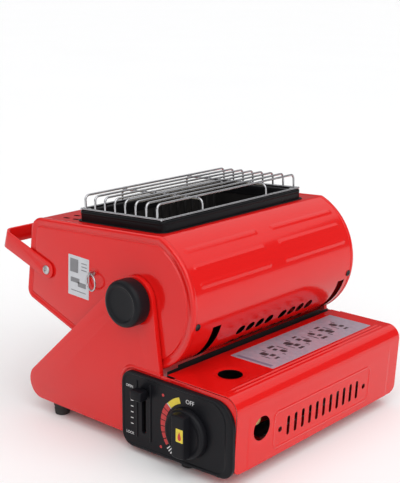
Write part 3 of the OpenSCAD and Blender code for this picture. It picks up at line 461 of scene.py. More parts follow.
# red sheet, black inside as painted shade, bent along a path and pressed outwards by lift(step, y)
def bentSheet(name, path, rows, place, smoothAngle, lift=flat):
    points = []
    for y in rows:
        for step, (x, z, nx, nz) in enumerate(path):
            rise = lift(step, y)
            points.append(place @ Vector((x + nx * rise, y, z + nz * rise)))
    count = len(path)
    faces = []
    for row in range(len(rows) - 1):
        for step in range(count - 1):
            corner = row * count + step
            faces.append([corner, corner + 1, corner + count + 1, corner + count])
    piece = newPiece(name, points, faces, redEnamel, smoothAngle)
    middle = (count - 1) // 2
    outward = place.to_3x3() @ Vector((path[middle][2], 0, path[middle][3]))
    if piece.data.polygons[middle].normal.dot(outward) < 0:
        piece.data.flip_normals()
    # inner faces in the near-black: painted shade for the dark inside
    piece.data.materials.append(shadeBlack)
    wall = piece.modifiers.new("wall", "SOLIDIFY")
    wall.thickness = sheetThickness * mm
    wall.offset = -1
    wall.material_offset = 1
    settle(piece)
    return piece


# head: a belt of arcs and straight runs, in the head's own frame and in millimetres

headShape = {
    "lean": 3.0,
    "drumRadius": 69.5,
    "flatTop": 63.0,
    "shoulder": (-139.0, 49.0, 14.0),  # x, z and radius
    "heel": (-155.5, -14.6, 10.0),
    "belly": (-45.5, -57.5, 12.0),
    "seamUnder": -14.0,
    "seamGap": 0.3,
    "lap": 2.0,
    "fieldHeight": 1.0,
    "fold": 3.0,
    "steps": {"top": 12, "shoulder": 14, "heel": 14, "belly": 8, "drum": 110},
    "rowStep": 30,
    "smoothAngle": 16,
}
headLean = Matrix.Rotation(-math.radians(headShape["lean"]), 4, "Y")
inHead = Matrix.Translation(jointAt["head_tilt"]) @ headLean @ inMillimetres
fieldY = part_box("rear_end_plate")[1].y / mm
headEnd = fieldY - headShape["fieldHeight"]
wrapEnd = headEnd - sheetThickness
plainRows = spread(-wrapEnd, wrapEnd, headShape["rowStep"])
drumCircle = (0.0, 0.0, headShape["drumRadius"])


def runAngle(first, second):  # outward angle of the straight run between two circles
    way = Vector((second[0] - first[0], second[1] - first[1]))
    unit = way.normalized()
    lean = (first[2] - second[2]) / way.length
    out = lean * unit + math.sqrt(1 - lean * lean) * Vector((unit.y, -unit.x))
    return math.degrees(math.atan2(out.y, out.x)) % 360


backAngle = runAngle(headShape["shoulder"], headShape["heel"])
underAngle = runAngle(headShape["heel"], headShape["belly"])


def topEdge(inset=0.0):  # x and angle where the flat top meets the drum
    radius = headShape["drumRadius"] - inset
    top = headShape["flatTop"] - inset
    return math.sqrt(radius * radius - top * top), math.degrees(math.asin(top / radius))


def heelAndBelly(inset=0.0):
    steps = headShape["steps"]
    heel = arc(headShape["heel"], backAngle, underAngle, steps["heel"], inset)
    return heel + arc(headShape["belly"], underAngle, 270, steps["belly"], inset)


def headRing(inset):  # whole outline, the same count of points at any inset
    edgeX, edgeAngle = topEdge(inset)
    top = headShape["flatTop"] - inset
    run = headShape["shoulder"][0] - edgeX
    steps = headShape["steps"]
    ring = [(edgeX + run * step / steps["top"], top, 0, 1) for step in range(steps["top"])]
    ring += arc(headShape["shoulder"], 90, backAngle, steps["shoulder"], inset)
    ring += heelAndBelly(inset)
    ring += arc(drumCircle, 270, 360 + edgeAngle, steps["drum"], inset)[:-1]
    return ring


pipeSlots = {
    "places": (-headEnd + 37, headEnd - 17),
    "width": 12.0,
    "top": -20.5,
    "bottom": -121.0,
    "inner": 55.5,
    "outer": 90.0,
    "steps": 40,
}


def slotCutters():  # room for the gas pipe while the head tilts
    look = pipeSlots
    inner = arc((0, 0, look["inner"]), look["top"], look["bottom"], look["steps"])
    outer = arc((0, 0, look["outer"]), look["bottom"], look["top"], look["steps"])
    span = (-look["width"] / 2, look["width"] / 2)
    outlines = [[Vector((x, y, z)) for x, z, nx, nz in inner + outer] for y in look["places"]]
    return [punch(outline, alongY, span, inHead) for outline in outlines]


def headSkin(name, path, rows, cutters, node, lift=flat):
    skin = bentSheet(name, path, rows, inHead, headShape["smoothAngle"], lift)
    cutWith(skin, cutters)
    shade(skin, headShape["smoothAngle"])
    seat(skin, node)


drumLook = {
    "beadAngles": (16.5, 30.5, 45.5),
    "beadShift": 64.0,
    "beadLength": 100.0,
    "beadHeight": 0.65,
    "beadHalfWidth": 4.2,
    "beadMesh": (10, 54, 0.6),  # degrees from, to and apart
    "beadEndMesh": (5, 0.8),  # either side of a bead's end, and apart
    "angleStep": 2.5,
    "rowStep": 5.0,
    "foldShare": 0.6,
    "foldSteps": 4,
    "ovalAngles": (-36.5, -54.5),
    "ovalRows": (-25.5, 42.0),
    "ovalsInRow": 4,
    "ovalPitch": 15.0,
    "ovalSize": (11.5, 12.5),
    "ovalCut": (60, 76),
}


def drumSkin():
    look = drumLook
    fold, top, radius = headShape["fold"], headShape["flatTop"], headShape["drumRadius"]
    edgeX, edgeAngle = topEdge()
    lastAngle = edgeAngle - math.degrees(fold / radius)
    start, corner = Vector((edgeX - fold * look["foldShare"], top)), Vector((edgeX, top))
    final = radius * Vector((math.cos(math.radians(lastAngle)), math.sin(math.radians(lastAngle))))
    path = [(edgeX - headShape["lap"], top, 0, 1)]
    for step in range(look["foldSteps"] + 1):  # soft fold between the flat top and the drum
        share = step / look["foldSteps"]
        turn = math.radians(90 + (lastAngle - 90) * share)
        spot = (1 - share) ** 2 * start + 2 * share * (1 - share) * corner + share ** 2 * final
        path.append((spot.x, spot.y, math.cos(turn), math.sin(turn)))
    lead = len(path)
    for angle in reversed(spread(-90, lastAngle, look["angleStep"], look["beadMesh"])[:-1]):
        path += arc(drumCircle, angle, angle, 1)[:1]
    path.append((headShape["seamUnder"] + headShape["seamGap"] / 2, -radius, 0, -1))
    half = look["beadLength"] / 2
    ends = [side * look["beadShift"] + end * half for side in (-1, 1) for end in (-1, 1)]
    near, apart = look["beadEndMesh"]
    rows = spread(-wrapEnd, wrapEnd, look["rowStep"], *[(end - near, end + near, apart) for end in ends])

    def pressed(step, y):
        if step < lead or step >= len(path) - 1:
            return 0.0
        angle = math.degrees(math.atan2(path[step][1], path[step][0]))
        past = max(0.0, min(abs(y - side * look["beadShift"]) for side in (-1, 1)) - half)
        rise = 0.0
        for bead in look["beadAngles"]:
            across = math.radians(angle - bead) * radius
            rise += look["beadHeight"] * softRidge(math.hypot(across, past), look["beadHalfWidth"])
        return rise

    cutters = slotCutters()
    for angle in look["ovalAngles"]:
        turn = math.radians(angle)
        out = Vector((math.cos(turn), 0, math.sin(turn)))
        side = Vector((-math.sin(turn), 0, math.cos(turn)))
        for row in look["ovalRows"]:
            for shift in inRow(look["ovalsInRow"], look["ovalPitch"]):
                y = row + shift
                outline = [side * b + Vector((0, y + a, 0)) for a, b in longHole(*look["ovalSize"])]
                cutters.append(punch(outline, out, look["ovalCut"], inHead))
    headSkin("drumCover", path, rows, cutters, "drum_cover", pressed)


topLook = {
    "shoulderSteps": 16,
    "opening": ((-85.0, -105.0, 50.0), (10.0, 93.0, 76.0)),
    "openingRound": 0.1,
    "ventRows": (-104.0, -118.0),
    "ventPitch": 14.0,
    "ventsInRow": 17,
    "ventSize": (4.0, 9.0),
    "ventCut": (56, 70),
}


def topSkin():
    look = topLook
    gap = headShape["seamGap"]
    path = [(topEdge()[0] - headShape["lap"] - gap, headShape["flatTop"], 0, 1)]
    path += arc(headShape["shoulder"], 90, backAngle, look["shoulderSteps"])
    x, z, nx, nz = path[-1]
    drop = (z - headShape["shoulder"][1] - gap / 2) / nx
    path.append((x + nz * drop, z - nx * drop, nx, nz))
    cutters = [roundBlock("opening", *look["opening"], look["openingRound"], inHead, shadeBlack, 1)]
    for x in look["ventRows"]:
        for y in inRow(look["ventsInRow"], look["ventPitch"]):
            outline = [Vector((x + b, y + a, 0)) for a, b in longHole(*look["ventSize"])]
            cutters.append(punch(outline, upwards, look["ventCut"], inHead))
    headSkin("topPanel", path, plainRows, cutters, "top_panel")


def bellySkin():
    gap = headShape["seamGap"]
    x, z, nx, nz = arc(headShape["shoulder"], backAngle, backAngle, 1)[0]
    start = headShape["shoulder"][1]
    path = [(x - (start - z) / (nx / nz), start - gap / 2, nx, nz)] + heelAndBelly()
    path.append((headShape["seamUnder"] - gap / 2, -headShape["drumRadius"], 0, -1))
    headSkin("bellyPan", path, plainRows, slotCutters(), "belly_pan")


# end plates: rolled hem over the sheet's edge, a groove, then the raised field
endPlateLook = {
    "profile": ((0.9, -0.8), (0.9, -4.6), (-0.25, -4.6), (-0.5, -4.0), (-0.6, -2.4), (-0.45, -0.9),
                (0.1, 0.15), (1.0, 0.72), (2.2, 0.9), (3.4, 0.72), (4.5, 0.30), (5.4, 0.06), (6.2, 0.0),
                (6.7, -0.12), (7.0, -0.40), (7.6, -0.42), (8.0, -0.10), (8.3, 0.45), (8.7, 0.86),
                (9.2, 1.0)),  # inset, out
    "smoothAngle": 30,
}


def endPlate(name, side, node):
    rings = []
    for inset, out in endPlateLook["profile"]:
        y = side * (headEnd + out)
        rings.append([inHead @ Vector((x, y, z)) for x, z, nx, nz in headRing(inset)])
    seat(loft(name, rings, redEnamel, endPlateLook["smoothAngle"]), node)


# burner frame: pressed ring with a foot, a straight wall and a rolled lip
frameLook = {
    "centre": (-37.5, -6.0),
    "size": (117.0, 220.0),
    "corner": 7.0,
    "border": 12.0,
    "openCorner": 3.0,
    "profile": ((-2.5, 0.0), (-2.5, 0.7), (-2.2, 1.0), (0.3, 1.05), (0.3, 1.5), (0.3, 6.8), (0.25, 7.2),
                (0.1, 7.7), (0.0, 8.3), (0.0, 9.4), (0.2, 10.1), (0.65, 10.65), (1.3, 10.92), (2.0, 11.0),
                (10.6, 11.0), (11.3, 10.85), (11.8, 10.4), (12.0, 9.7), (12.0, 0.0)),  # inset, height
    "smoothAngle": 35,
}


def burnerFrame():
    look = frameLook
    width, length = look["size"]
    rings = []
    for inset, height in look["profile"]:
        outer = look["corner"] - inset
        inner = look["openCorner"] + look["border"] - inset
        corner = outer if inset < look["border"] / 2 else inner
        outline = roundRect(*look["centre"], width - 2 * inset, length - 2 * inset, corner)
        rings.append([inHead @ Vector((x, y, headShape["flatTop"] + height)) for x, y in outline])
    ring = loft("burnerFrame", rings, finishes["black_enamel"], look["smoothAngle"], endless=True)
    seat(ring, "burner_frame")


drumSkin()
topSkin()
bellySkin()
endPlate("frontEndPlate", -1, "front_end_plate")
endPlate("rearEndPlate", 1, "rear_end_plate")
burnerFrame()
print("head skinned")


# lid: flat top, round edge and leaning side, with pressed beads and a drawn finger hole

lidBox = boxOf("canister_lid")
lidShape = {
    "left": lidBox[0].x,
    "top": 89.3,
    "cornerX": 152.0,
    "round": 14.0,
    "roundSteps": 24,
    "draft": 3.1,
    "hem": 15.0,
    "hemCorner": 7.0,
    "end": lidBox[1].y,
    "smoothAngle": 18,
    "twinBeads": (145.8, 150.8),
    "twinEnd": 122.0,
    "twinHeight": 0.6,
    "twinHalfWidth": 1.8,
    "fieldEnd": 118.7,
    "fieldSoft": 1.2,
    "fieldRise": 0.3,
    "fieldFade": (3.0, 12.0),
    "embossDrop": 33.5,
    "embossHalf": (81.0, 18.5),
    "embossRound": 6.0,
    "embossHeight": 0.5,
    "embossHalfWidth": 1.5,
    "fingerHole": (119.5, -91.5),
    "portDiameter": 24.0,
    "portSides": 48,
    "drawnDepth": 1.0,
    "drawnWidth": 5.0,
    "adjusterHole": (-100.0, 24.0),
    "ventCount": 11,
    "ventPitch": 11.7,
    "ventDrop": 35.0,
    "ventSize": (4.4, 19.5),
    "ventEndHole": 5.5,
    "ventEndShift": 0.6,
    "cutDeep": 8,
    "notch": (11.0, 2.0),
    "notchHalf": 4,
    "notchRound": 0.1,
    "hemSteps": 10,
    "earY": 100.0,
    "earWidth": 12.0,
    "earRadius": 3.0,
    "earSoft": 0.3,
    "earBore": 1.56,
    "earSides": 32,
    "earSunk": 0.4,
}
lidMesh = {
    "pathStep": 3.0,
    "rowStep": 5.0,
    "hole": 1.4,
    "twin": (2, 1.2, 0.5),  # before, after and apart
    "emboss": (2, 6, 0.6),
    "embossEnd": (2.5, 7, 0.6),
    "field": (3, 6, 0.8),
}


def lidSidePlace(drop):  # point on the lid's side, drop below the round's centre
    lean = math.radians(lidShape["draft"])
    away = Vector((math.cos(lean), 0, -math.sin(lean)))
    down = Vector((-math.sin(lean), 0, -math.cos(lean)))
    centre = Vector((lidShape["cornerX"], 0, lidShape["top"] - lidShape["round"]))
    return centre + lidShape["round"] * away + drop * down, away, down


def lineDistance(a, b, half, radius):  # distance to a round-cornered rectangle's outline
    across = Vector((max(abs(a) - half[0] + radius, 0), max(abs(b) - half[1] + radius, 0)))
    inside = min(max(abs(a) - half[0] + radius, abs(b) - half[1] + radius), 0)
    return abs(across.length + inside - radius)


def lidSheet():
    look, mesh = lidShape, lidMesh
    hole, twin, emboss = Vector(look["fingerHole"]), look["twinBeads"], look["embossDrop"]
    halfLong, halfHigh = look["embossHalf"]
    reach = look["portDiameter"] / 2 + look["drawnWidth"] + 1
    before, after, apart = mesh["twin"]
    tops = spread(look["left"], look["cornerX"], mesh["pathStep"],
                  (hole.x - reach, hole.x + reach, mesh["hole"]), (twin[0] - before, twin[1] + after, apart))
    path = [(x, look["top"], 0, 1) for x in tops[:-1]]
    circle = (look["cornerX"], look["top"] - look["round"], look["round"])
    path += arc(circle, 90, -look["draft"], look["roundSteps"])
    lead = len(path)
    sideLength = (look["top"] - look["round"] - look["hem"]) / math.cos(math.radians(look["draft"]))
    before, after, apart = mesh["emboss"]
    drops = spread(0, sideLength, mesh["pathStep"],
                   (emboss - halfHigh - before, emboss - halfHigh + after, apart),
                   (emboss + halfHigh - after, emboss + halfHigh + before, apart))
    for drop in drops[1:]:
        spot, away, down = lidSidePlace(drop)
        path.append((spot.x, spot.z, away.x, away.z))
    before, after, apart = mesh["embossEnd"]
    fine = [(-halfLong - before, -halfLong + after, apart), (halfLong - after, halfLong + before, apart),
            (hole.y - reach, hole.y + reach, mesh["hole"])]
    before, after, apart = mesh["field"]
    for side in (-1, 1):
        fine.append((side * look["fieldEnd"] - before, side * look["fieldEnd"] + after, apart))
    rows = spread(-look["end"], look["end"], mesh["rowStep"], *fine)

    def pressed(step, y):
        x = path[step][0]
        rise = 0.0
        if step < lead - look["roundSteps"]:
            past = max(0.0, abs(y) - look["twinEnd"])
            for bead in twin:
                rise += look["twinHeight"] * softRidge(math.hypot(x - bead, past), look["twinHalfWidth"])
            away = (Vector((x, y)) - hole).length - look["portDiameter"] / 2
            rise -= look["drawnDepth"] * (1 - softStep(away, -1.0, look["drawnWidth"]))
        elif step >= lead:
            drop = drops[step - lead + 1]
            fieldEnd, soft = look["fieldEnd"], look["fieldSoft"]
            inField = 1 - softStep(abs(y), fieldEnd - soft, fieldEnd + soft)
            rise += softStep(drop, *look["fieldFade"]) * look["fieldRise"] * inField
            line = lineDistance(y, drop - emboss, look["embossHalf"], look["embossRound"])
            rise += look["embossHeight"] * softRidge(line, look["embossHalfWidth"])
        return rise

    return bentSheet("canisterLid", path, rows, inMillimetres, look["smoothAngle"], pressed)


def lidCutters():
    look = lidShape
    cutters = []
    port = disc(look["portDiameter"] / 2, look["portSides"])

    def cut(outline, way):
        cutters.append(punch(outline, way, (-look["cutDeep"], look["cutDeep"]), inMillimetres))

    x, y = look["fingerHole"]
    cut([Vector((x + a, y + b, look["top"])) for a, b in port], upwards)
    y, drop = look["adjusterHole"]
    spot, away, down = lidSidePlace(drop)
    cut([spot + down * a + Vector((0, y + b, 0)) for a, b in port], away)
    spot, away, down = lidSidePlace(look["ventDrop"])
    for y in inRow(look["ventCount"], look["ventPitch"]):
        cut([spot + down * b + Vector((0, y + a, 0)) for a, b in longHole(*look["ventSize"])], away)
    end, hem, corner = look["end"], look["hem"], look["hemCorner"]
    wide, deep = look["notch"]
    belowHem = [(end + 1, hem + corner), (end + 1, hem - 2), (end - corner, hem - 2)]
    belowHem += [spot[:2] for spot in arc((end - corner, hem + corner, corner), 270, 360, look["hemSteps"])]
    small = disc(look["ventEndHole"] / 2, look["portSides"])
    for side in (-1, 1):
        y = side * (look["ventCount"] / 2 + look["ventEndShift"]) * look["ventPitch"]
        cut([spot + down * a + Vector((0, y + b, 0)) for a, b in small], away)
        low = end - deep if side > 0 else -end - 1
        cutters.append(roundBlock("notch", (look["left"] - 1, low, look["top"] - look["notchHalf"]),
                                  (look["left"] + wide, low + deep + 1, look["top"] + look["notchHalf"]),
                                  look["notchRound"], inMillimetres, shadeBlack, 1))
        outline = [Vector((look["cornerX"], side * y, z)) for y, z in belowHem]
        cutters.append(punch(outline, alongX, (0, 2 * look["round"]), inMillimetres))
    return cutters


def lidEars():  # two hinge ears with their barrels
    look = lidShape
    hinge = jointAt["lid_open"] / mm
    radius, width, soft, bore = (look[key] for key in ("earRadius", "earWidth", "earSoft", "earBore"))
    profile = ((bore, 0), (radius - soft, 0), (radius, soft), (radius, width - soft), (radius - soft, width),
               (bore, width))
    ears = []
    for side in (-1, 1):
        front, rear = side * look["earY"] - width / 2, side * look["earY"] + width / 2
        ears.append(roundBlock("ear", (hinge.x - radius, front, hinge.z - 1),
                               (hinge.x + radius, rear, look["top"] - look["earSunk"]), soft,
                               inMillimetres, redEnamel))
        place = facing(-1, hinge.x, rear, hinge.z)
        ears.append(lathe("barrel", profile, place, redEnamel, look["earSides"]))
    return ears


def canisterLid():
    sheet = lidSheet()
    cutWith(sheet, lidCutters())
    shade(sheet, lidShape["smoothAngle"])
    seat(joined("canisterLid", [sheet] + lidEars()), "canister_lid")


canisterLid()
print("lid pressed")


# CAD pieces copied, their corners merged and broken, and smoothed

panelBox, knobBox, leverBox = (boxOf(node) for node in ("control_panel", "control_knob", "lock_lever"))
knobAt = Vector(((knobBox[0].x + knobBox[1].x) / 2, 0, (knobBox[0].z + knobBox[1].z) / 2))
leverX = (leverBox[0].x + leverBox[1].x) / 2
leverZ = (leverBox[0].z + leverBox[1].z) / 2
leverRoom = {"half": 5.2, "low": 21.5, "high": 72.5, "front": -140.0, "rear": -136.0, "round": 0.5}
copyLook = {"merge": 2e-6, "flat": 0.5, "sharp": 40, "smoothAngle": 32}  # metres, then degrees


def leverCutter():  # the plate's slot is wider than the panel's
    look = leverRoom
    low = (leverX - look["half"], look["front"], look["low"])
    high = (leverX + look["half"], look["rear"], look["high"])
    return roundBlock("leverRoom", low, high, look["round"], inMillimetres, shadeBlack, 1)


def dressedCopy(node, breakWidth, material=None):
    look = copyLook
    first, *rest = node.split("_")
    name = first + "".join(word.title() for word in rest)
    piece = newPiece(name, [], [], material or finishes[slotOf[node]])
    with meshWork(piece.data, frame["nodes"][node].data) as work:
        bmesh.ops.remove_doubles(work, verts=work.verts, dist=look["merge"])
        bmesh.ops.dissolve_degenerate(work, dist=look["merge"] / 2, edges=work.edges)
        bmesh.ops.dissolve_limit(work, angle_limit=math.radians(look["flat"]), verts=work.verts,
                                 edges=work.edges)
        if breakWidth:
            sharp = [edge for edge in work.edges if len(edge.link_faces) == 2
                     and edge.calc_face_angle() > math.radians(look["sharp"])]
            bmesh.ops.bevel(work, geom=sharp, offset=breakWidth * mm, segments=2, profile=0.5,
                            affect="EDGES", clamp_overlap=True)
    if node == "front_side_plate":
        cutWith(piece, [leverCutter()])
    shade(piece, look["smoothAngle"])
    seat(piece, node)


brokenEdges = {
    "base_pan": 0.3, "front_side_plate": 0.3, "rear_side_plate": 0.3, "bay_wall": 0.2, "lever_guide": 0.2,
    "regulator_body": 0.6, "piezo_igniter": 0.5, "canister_carriage": 0.3, "handle_strap": 0.4,
    "heat_shield": 0.2, "reflector_tray": 0.3, "burner_box": 0.2, "tile_gasket": 0.3, "valve_spindle": 0.2,
    "adjuster_plug": 0.3, "gas_jet": 0.2, "inlet_nozzle": 0.2, "canister_socket": 0.3,
    "front_pivot_bush": 0.2, "rear_pivot_bush": 0.2, "stop_pin": 0.2, "front_clamp_stud": 0.2,
    "rear_clamp_stud": 0.2, "venturi_tube": 0.2, "spark_electrode": 0.1, "lid_hinge_pin": 0.2,
    "foot_screws": 0.2, "gas_pipe": 0, "guard_ring": 0, "guard_wires": 0, "guard_cross_wires": 0,
    "pull_ring": 0,
}
# bay wall, heat shield and lever guide in the near-black as painted shade in the deep gaps and the slot; the
# reflector tray takes the same near-black; the hinge pin's end is red like the plate it sits in
shadeBlackOrRepainted = {"reflector_tray": shadeBlack, "heat_shield": shadeBlack, "lever_guide": shadeBlack,
               "bay_wall": shadeBlack, "lid_hinge_pin": redEnamel}
for node, width in brokenEdges.items():
    dressedCopy(node, width, shadeBlackOrRepainted.get(node))
print("CAD pieces dressed,", len(brokenEdges))


# control panel: moulded plate with a round rim, the lever's slot, two ridges and the printed dial

panelLook = {
    "corners": (22.0, 14.0, 14.0, 14.0),  # from the top right, round to the bottom right
    "lift": 4.0,  # the lower edge rises to the right
    "slopeRight": 3.0,  # the right flank is that many times as wide as the others
    "face": -140.0,
    "profile": ((0.0, -137.0), (0.0, -140.0), (0.15, -140.55), (0.5, -140.88), (1.0, -141.0), (2.1, -141.0),
                (2.6, -140.85), (2.95, -140.45), (3.2, -140.1), (3.6, -140.0)),  # inset, y
    "slot": (5.6, 23.7, 70.3),  # width, low and high
    "slotCut": (-150, -130),
    "slotSides": 8,
    "ridgeOff": 9.0,
    "ridge": (2.0, 18.0, 76.0),
    "ridgeOut": 0.9,
    "ridgeSunk": 0.4,
    "ridgeRound": 0.4,
    "cornerSteps": 14,
    "smoothAngle": 30,
}


def panelRing(inset, y):
    low, high = panelBox
    topRight, topLeft, lowLeft, lowRight = panelLook["corners"]
    lift, steps = panelLook["lift"], panelLook["cornerSteps"]
    right = high.x - inset * (panelLook["slopeRight"] - 1)
    run = right - lowRight - low.x - lowLeft
    under = 270 + math.degrees(math.atan2(lift, run))
    turns = (((right - topRight, high.z - topRight, topRight), 0, 90),
             ((low.x + topLeft, high.z - topLeft, topLeft), 90, 180),
             ((low.x + lowLeft, low.z + lowLeft, lowLeft), 180, under),
             ((right - lowRight, low.z + lift + lowRight, lowRight), under, 360))
    ring = []
    for circle, start, end in turns:
        ring += [Vector((a, y, b)) * mm for a, b, nx, nz in arc(circle, start, end, steps, inset)]
    return ring


def controlPanel():
    look = panelLook
    rings = [panelRing(inset, y) for inset, y in look["profile"]]
    plate = loft("controlPanel", rings, blackPlastic, look["smoothAngle"])
    width, low, high = look["slot"]
    hole = longHole(width, high - low, look["slotSides"])
    outline = [Vector((leverX + a, 0, (low + high) / 2 + b)) for a, b in hole]
    cutWith(plate, [punch(outline, alongY, look["slotCut"], inMillimetres)])
    shade(plate, look["smoothAngle"])
    parts = [plate]
    width, low, high = look["ridge"]
    for side in (-1, 1):
        x = leverX + side * look["ridgeOff"]
        parts.append(roundBlock("ridge", (x - width / 2, look["face"] - look["ridgeOut"], low),
                                (x + width / 2, look["face"] + look["ridgeSunk"], high),
                                look["ridgeRound"], inMillimetres, blackPlastic))
    seat(joined("controlPanel", parts), "control_panel")


dialLook = {
    "yellow": (19.0, 48.5, 27.6, 33.6),  # degrees left of the top, then radii
    "edge": (49.2, 50.6, 27.4, 34.0),
    "red": (51.4, 129.0, 27.8, 34.4),
    "redPieces": 7,
    "redShare": 0.86,
    "ticks": (133.0, 137.5, 142.0),
    "tickHalf": 0.9,
    "tickRadii": (27.2, 35.5),
    "words": (("OFF", 112.3, 72.5, 4.2), ("OPEN", 34.0, 68.0, 2.6), ("LOCK", 34.5, 19.8, 2.8)),
    "dots": ((78.5, 70.8, 1.5), (75.5, 17.5, 1.5)),
    "dotSides": 20,
    "leverTicks": (30.0, 36.0, 42.0, 48.0, 54.0),
    "leverTickX": (35.6, 39.0),
    "leverTickHalf": 0.4,
    "thickness": 0.06,
}
printAngle = 20  # smoothing of thin prints


def printPatch(outline, ink, y, name):  # thin print standing on a face that looks to the front
    rings = [[Vector((x, y - depth, z)) * mm for x, z in outline] for depth in (0.0, dialLook["thickness"])]
    return loft(name, rings, inks[ink], printAngle)


def dialSector(start, end, inner, outer, steps=14):
    outline = []
    for radius, first, last in ((inner, start, end), (outer, end, start)):
        for step in range(steps + 1):
            turn = math.radians(first + (last - first) * step / steps)
            outline.append((knobAt.x - radius * math.sin(turn), knobAt.z + radius * math.cos(turn)))
    return outline


def lettering(word, place, tall, ink):
    letters = bpy.data.curves.new(word, "FONT")
    letters.body = word
    letters.align_x, letters.align_y = "CENTER", "CENTER"
    letters.extrude = 0.5
    letters.resolution_u = 3
    holder = linked(word, letters)
    mesh = bpy.data.meshes.new_from_object(holder.evaluated_get(bpy.context.evaluated_depsgraph_get()))
    bpy.data.objects.remove(holder)
    heights = [vert.co.y for vert in mesh.vertices]
    size = tall / (max(heights) - min(heights))
    thick = dialLook["thickness"]
    mesh.transform(place @ Matrix.Translation((0, 0, thick / 2)) @ Matrix.Diagonal((size, size, thick, 1)))
    mesh.materials.clear()
    mesh.materials.append(inks[ink])
    piece = linked(word, mesh)
    turnOutwards(piece)
    shade(piece, printAngle)
    return piece


def dialPrint():
    look = dialLook
    face = panelLook["face"]
    white = [printPatch(dialSector(*look["edge"], 4), "white", face, "edge")]
    white += [lettering(word, facing(-1, x, face, z), tall, "white") for word, x, z, tall in look["words"]]
    for tick in look["ticks"]:
        outline = dialSector(tick - look["tickHalf"], tick + look["tickHalf"], *look["tickRadii"], 3)
        white.append(printPatch(outline, "white", face, "tick"))
    left, right = look["leverTickX"]
    for z in look["leverTicks"]:
        low, high = z - look["leverTickHalf"], z + look["leverTickHalf"]
        outline = [(left, low), (right, low), (right, high), (left, high)]
        white.append(printPatch(outline, "white", face, "tick"))
    fix(joined("dialMarks", white), "base")
    fix(printPatch(dialSector(*look["yellow"]), "yellow", face, "dialYellow"), "base")
    first, last, inner, outer = look["red"]
    pieceTurn = (last - first) / look["redPieces"]
    reds = []
    for index in range(look["redPieces"]):
        start = first + index * pieceTurn
        outline = dialSector(start, start + pieceTurn * look["redShare"], inner, outer, 5)
        reds.append(printPatch(outline, "red", face, "red"))
    for x, z, radius in look["dots"]:
        outline = [(x + a, z + b) for a, b in disc(radius, look["dotSides"])]
        reds.append(printPatch(outline, "red", face, "dot"))
    fix(joined("dialRed", reds), "base")


knobLook = {
    "skirt": ((0.0, 0.0), (24.1, 0.0), (24.5, 0.4), (24.2, 3.2), (23.6, 5.4), (22.8, 6.3), (21.6, 6.75),
              (19.8, 6.6), (18.8, 6.2), (17.0, 6.1), (0.0, 6.1)),  # radius, height
    "gripFoot": 5.0,
    "gripHalf": 8.5,
    "gripReach": 22.4,
    "gripDraft": 1.04,
    "gripRound": 1.6,
    "gripSteps": 5,
    "sides": 96,
    "smoothAngle": 30,
    "sticker": (3.0, 2.6, 8.6, 13.0, 0.6),  # x, z, width, height and corner
    "stickerRoom": 0.12,
    "stickerSunk": 0.01,
    "flame": (3.0, 4.6, 1.6),  # half width, half height and how sharp its tip is
    "flameDrop": 0.2,
    "flameProud": 0.02,
    "flameSides": 28,
}


def barRing(half, reach, height, place, steps=12):  # grip's outline: straight flanks with round ends
    ends = math.degrees(math.asin(half / reach))
    ring = []
    for start in (90 - ends, 270 - ends):
        for step in range(steps + 1):
            turn = math.radians(start + 2 * ends * step / steps)
            ring.append(place @ Vector((reach * math.cos(turn), reach * math.sin(turn), height)))
    return ring


def controlKnob():
    look = knobLook
    place = facing(-1, knobAt.x, knobBox[1].y, knobAt.z)
    height = knobBox[1].y - knobBox[0].y - look["stickerRoom"]
    half, reach, draft, soft = (look[key] for key in ("gripHalf", "gripReach", "gripDraft", "gripRound"))
    skirt = lathe("skirt", look["skirt"], place, blackPlastic, look["sides"])
    rings = [barRing(half, reach, look["gripFoot"], place)]
    for step in range(look["gripSteps"] + 1):
        turn = math.pi / 2 * step / look["gripSteps"]
        inset = draft + soft * (1 - math.cos(turn))
        rings.append(barRing(half - inset, reach - inset, height - soft + soft * math.sin(turn), place))
    grip = loft("grip", rings, blackPlastic, look["smoothAngle"])
    seat(joined("controlKnob", [skirt, grip]), "control_knob")
    x, z, width, tall, corner = look["sticker"]
    x, z = knobAt.x + x, knobAt.z + z
    front = knobBox[0].y + look["stickerRoom"]
    outline = roundRect(x, z, width, tall, corner)
    plate = printPatch(outline, "yellow", front + look["stickerSunk"], "knobPlate")
    fix(plate, "control_knob")
    flameHalf, flameTall, sharp = look["flame"]
    drop = []
    for across, up in disc(1, look["flameSides"]):  # plain flame drop, drawn from its tip
        turn = math.atan2(up, across) % (2 * math.pi)
        narrow = math.sin(turn / 2) ** sharp
        drop.append((x + flameHalf * up * narrow, z + flameTall * across - look["flameDrop"]))
    flame = printPatch(drop, "red", front - look["flameProud"], "knobFlame")
    fix(flame, "control_knob")


leverLook = {
    "tab": ((-7.0, -152.3, -5.0), (7.0, -141.3, 5.0)),
    "tabRound": 1.6,
    "ribs": 3,
    "ribPitch": 2.6,
    "ribIn": 1.2,
    "ribHalf": 0.5,
    "ribDeep": 1.0,
    "ribRound": 0.35,
    "softEdge": 0.5,
    "neck": ((-2.4, -144.0, -3.6), (2.4, -133.0, 3.6)),
    "blockFront": -135.0,
    "blockHalf": 5.0,
}


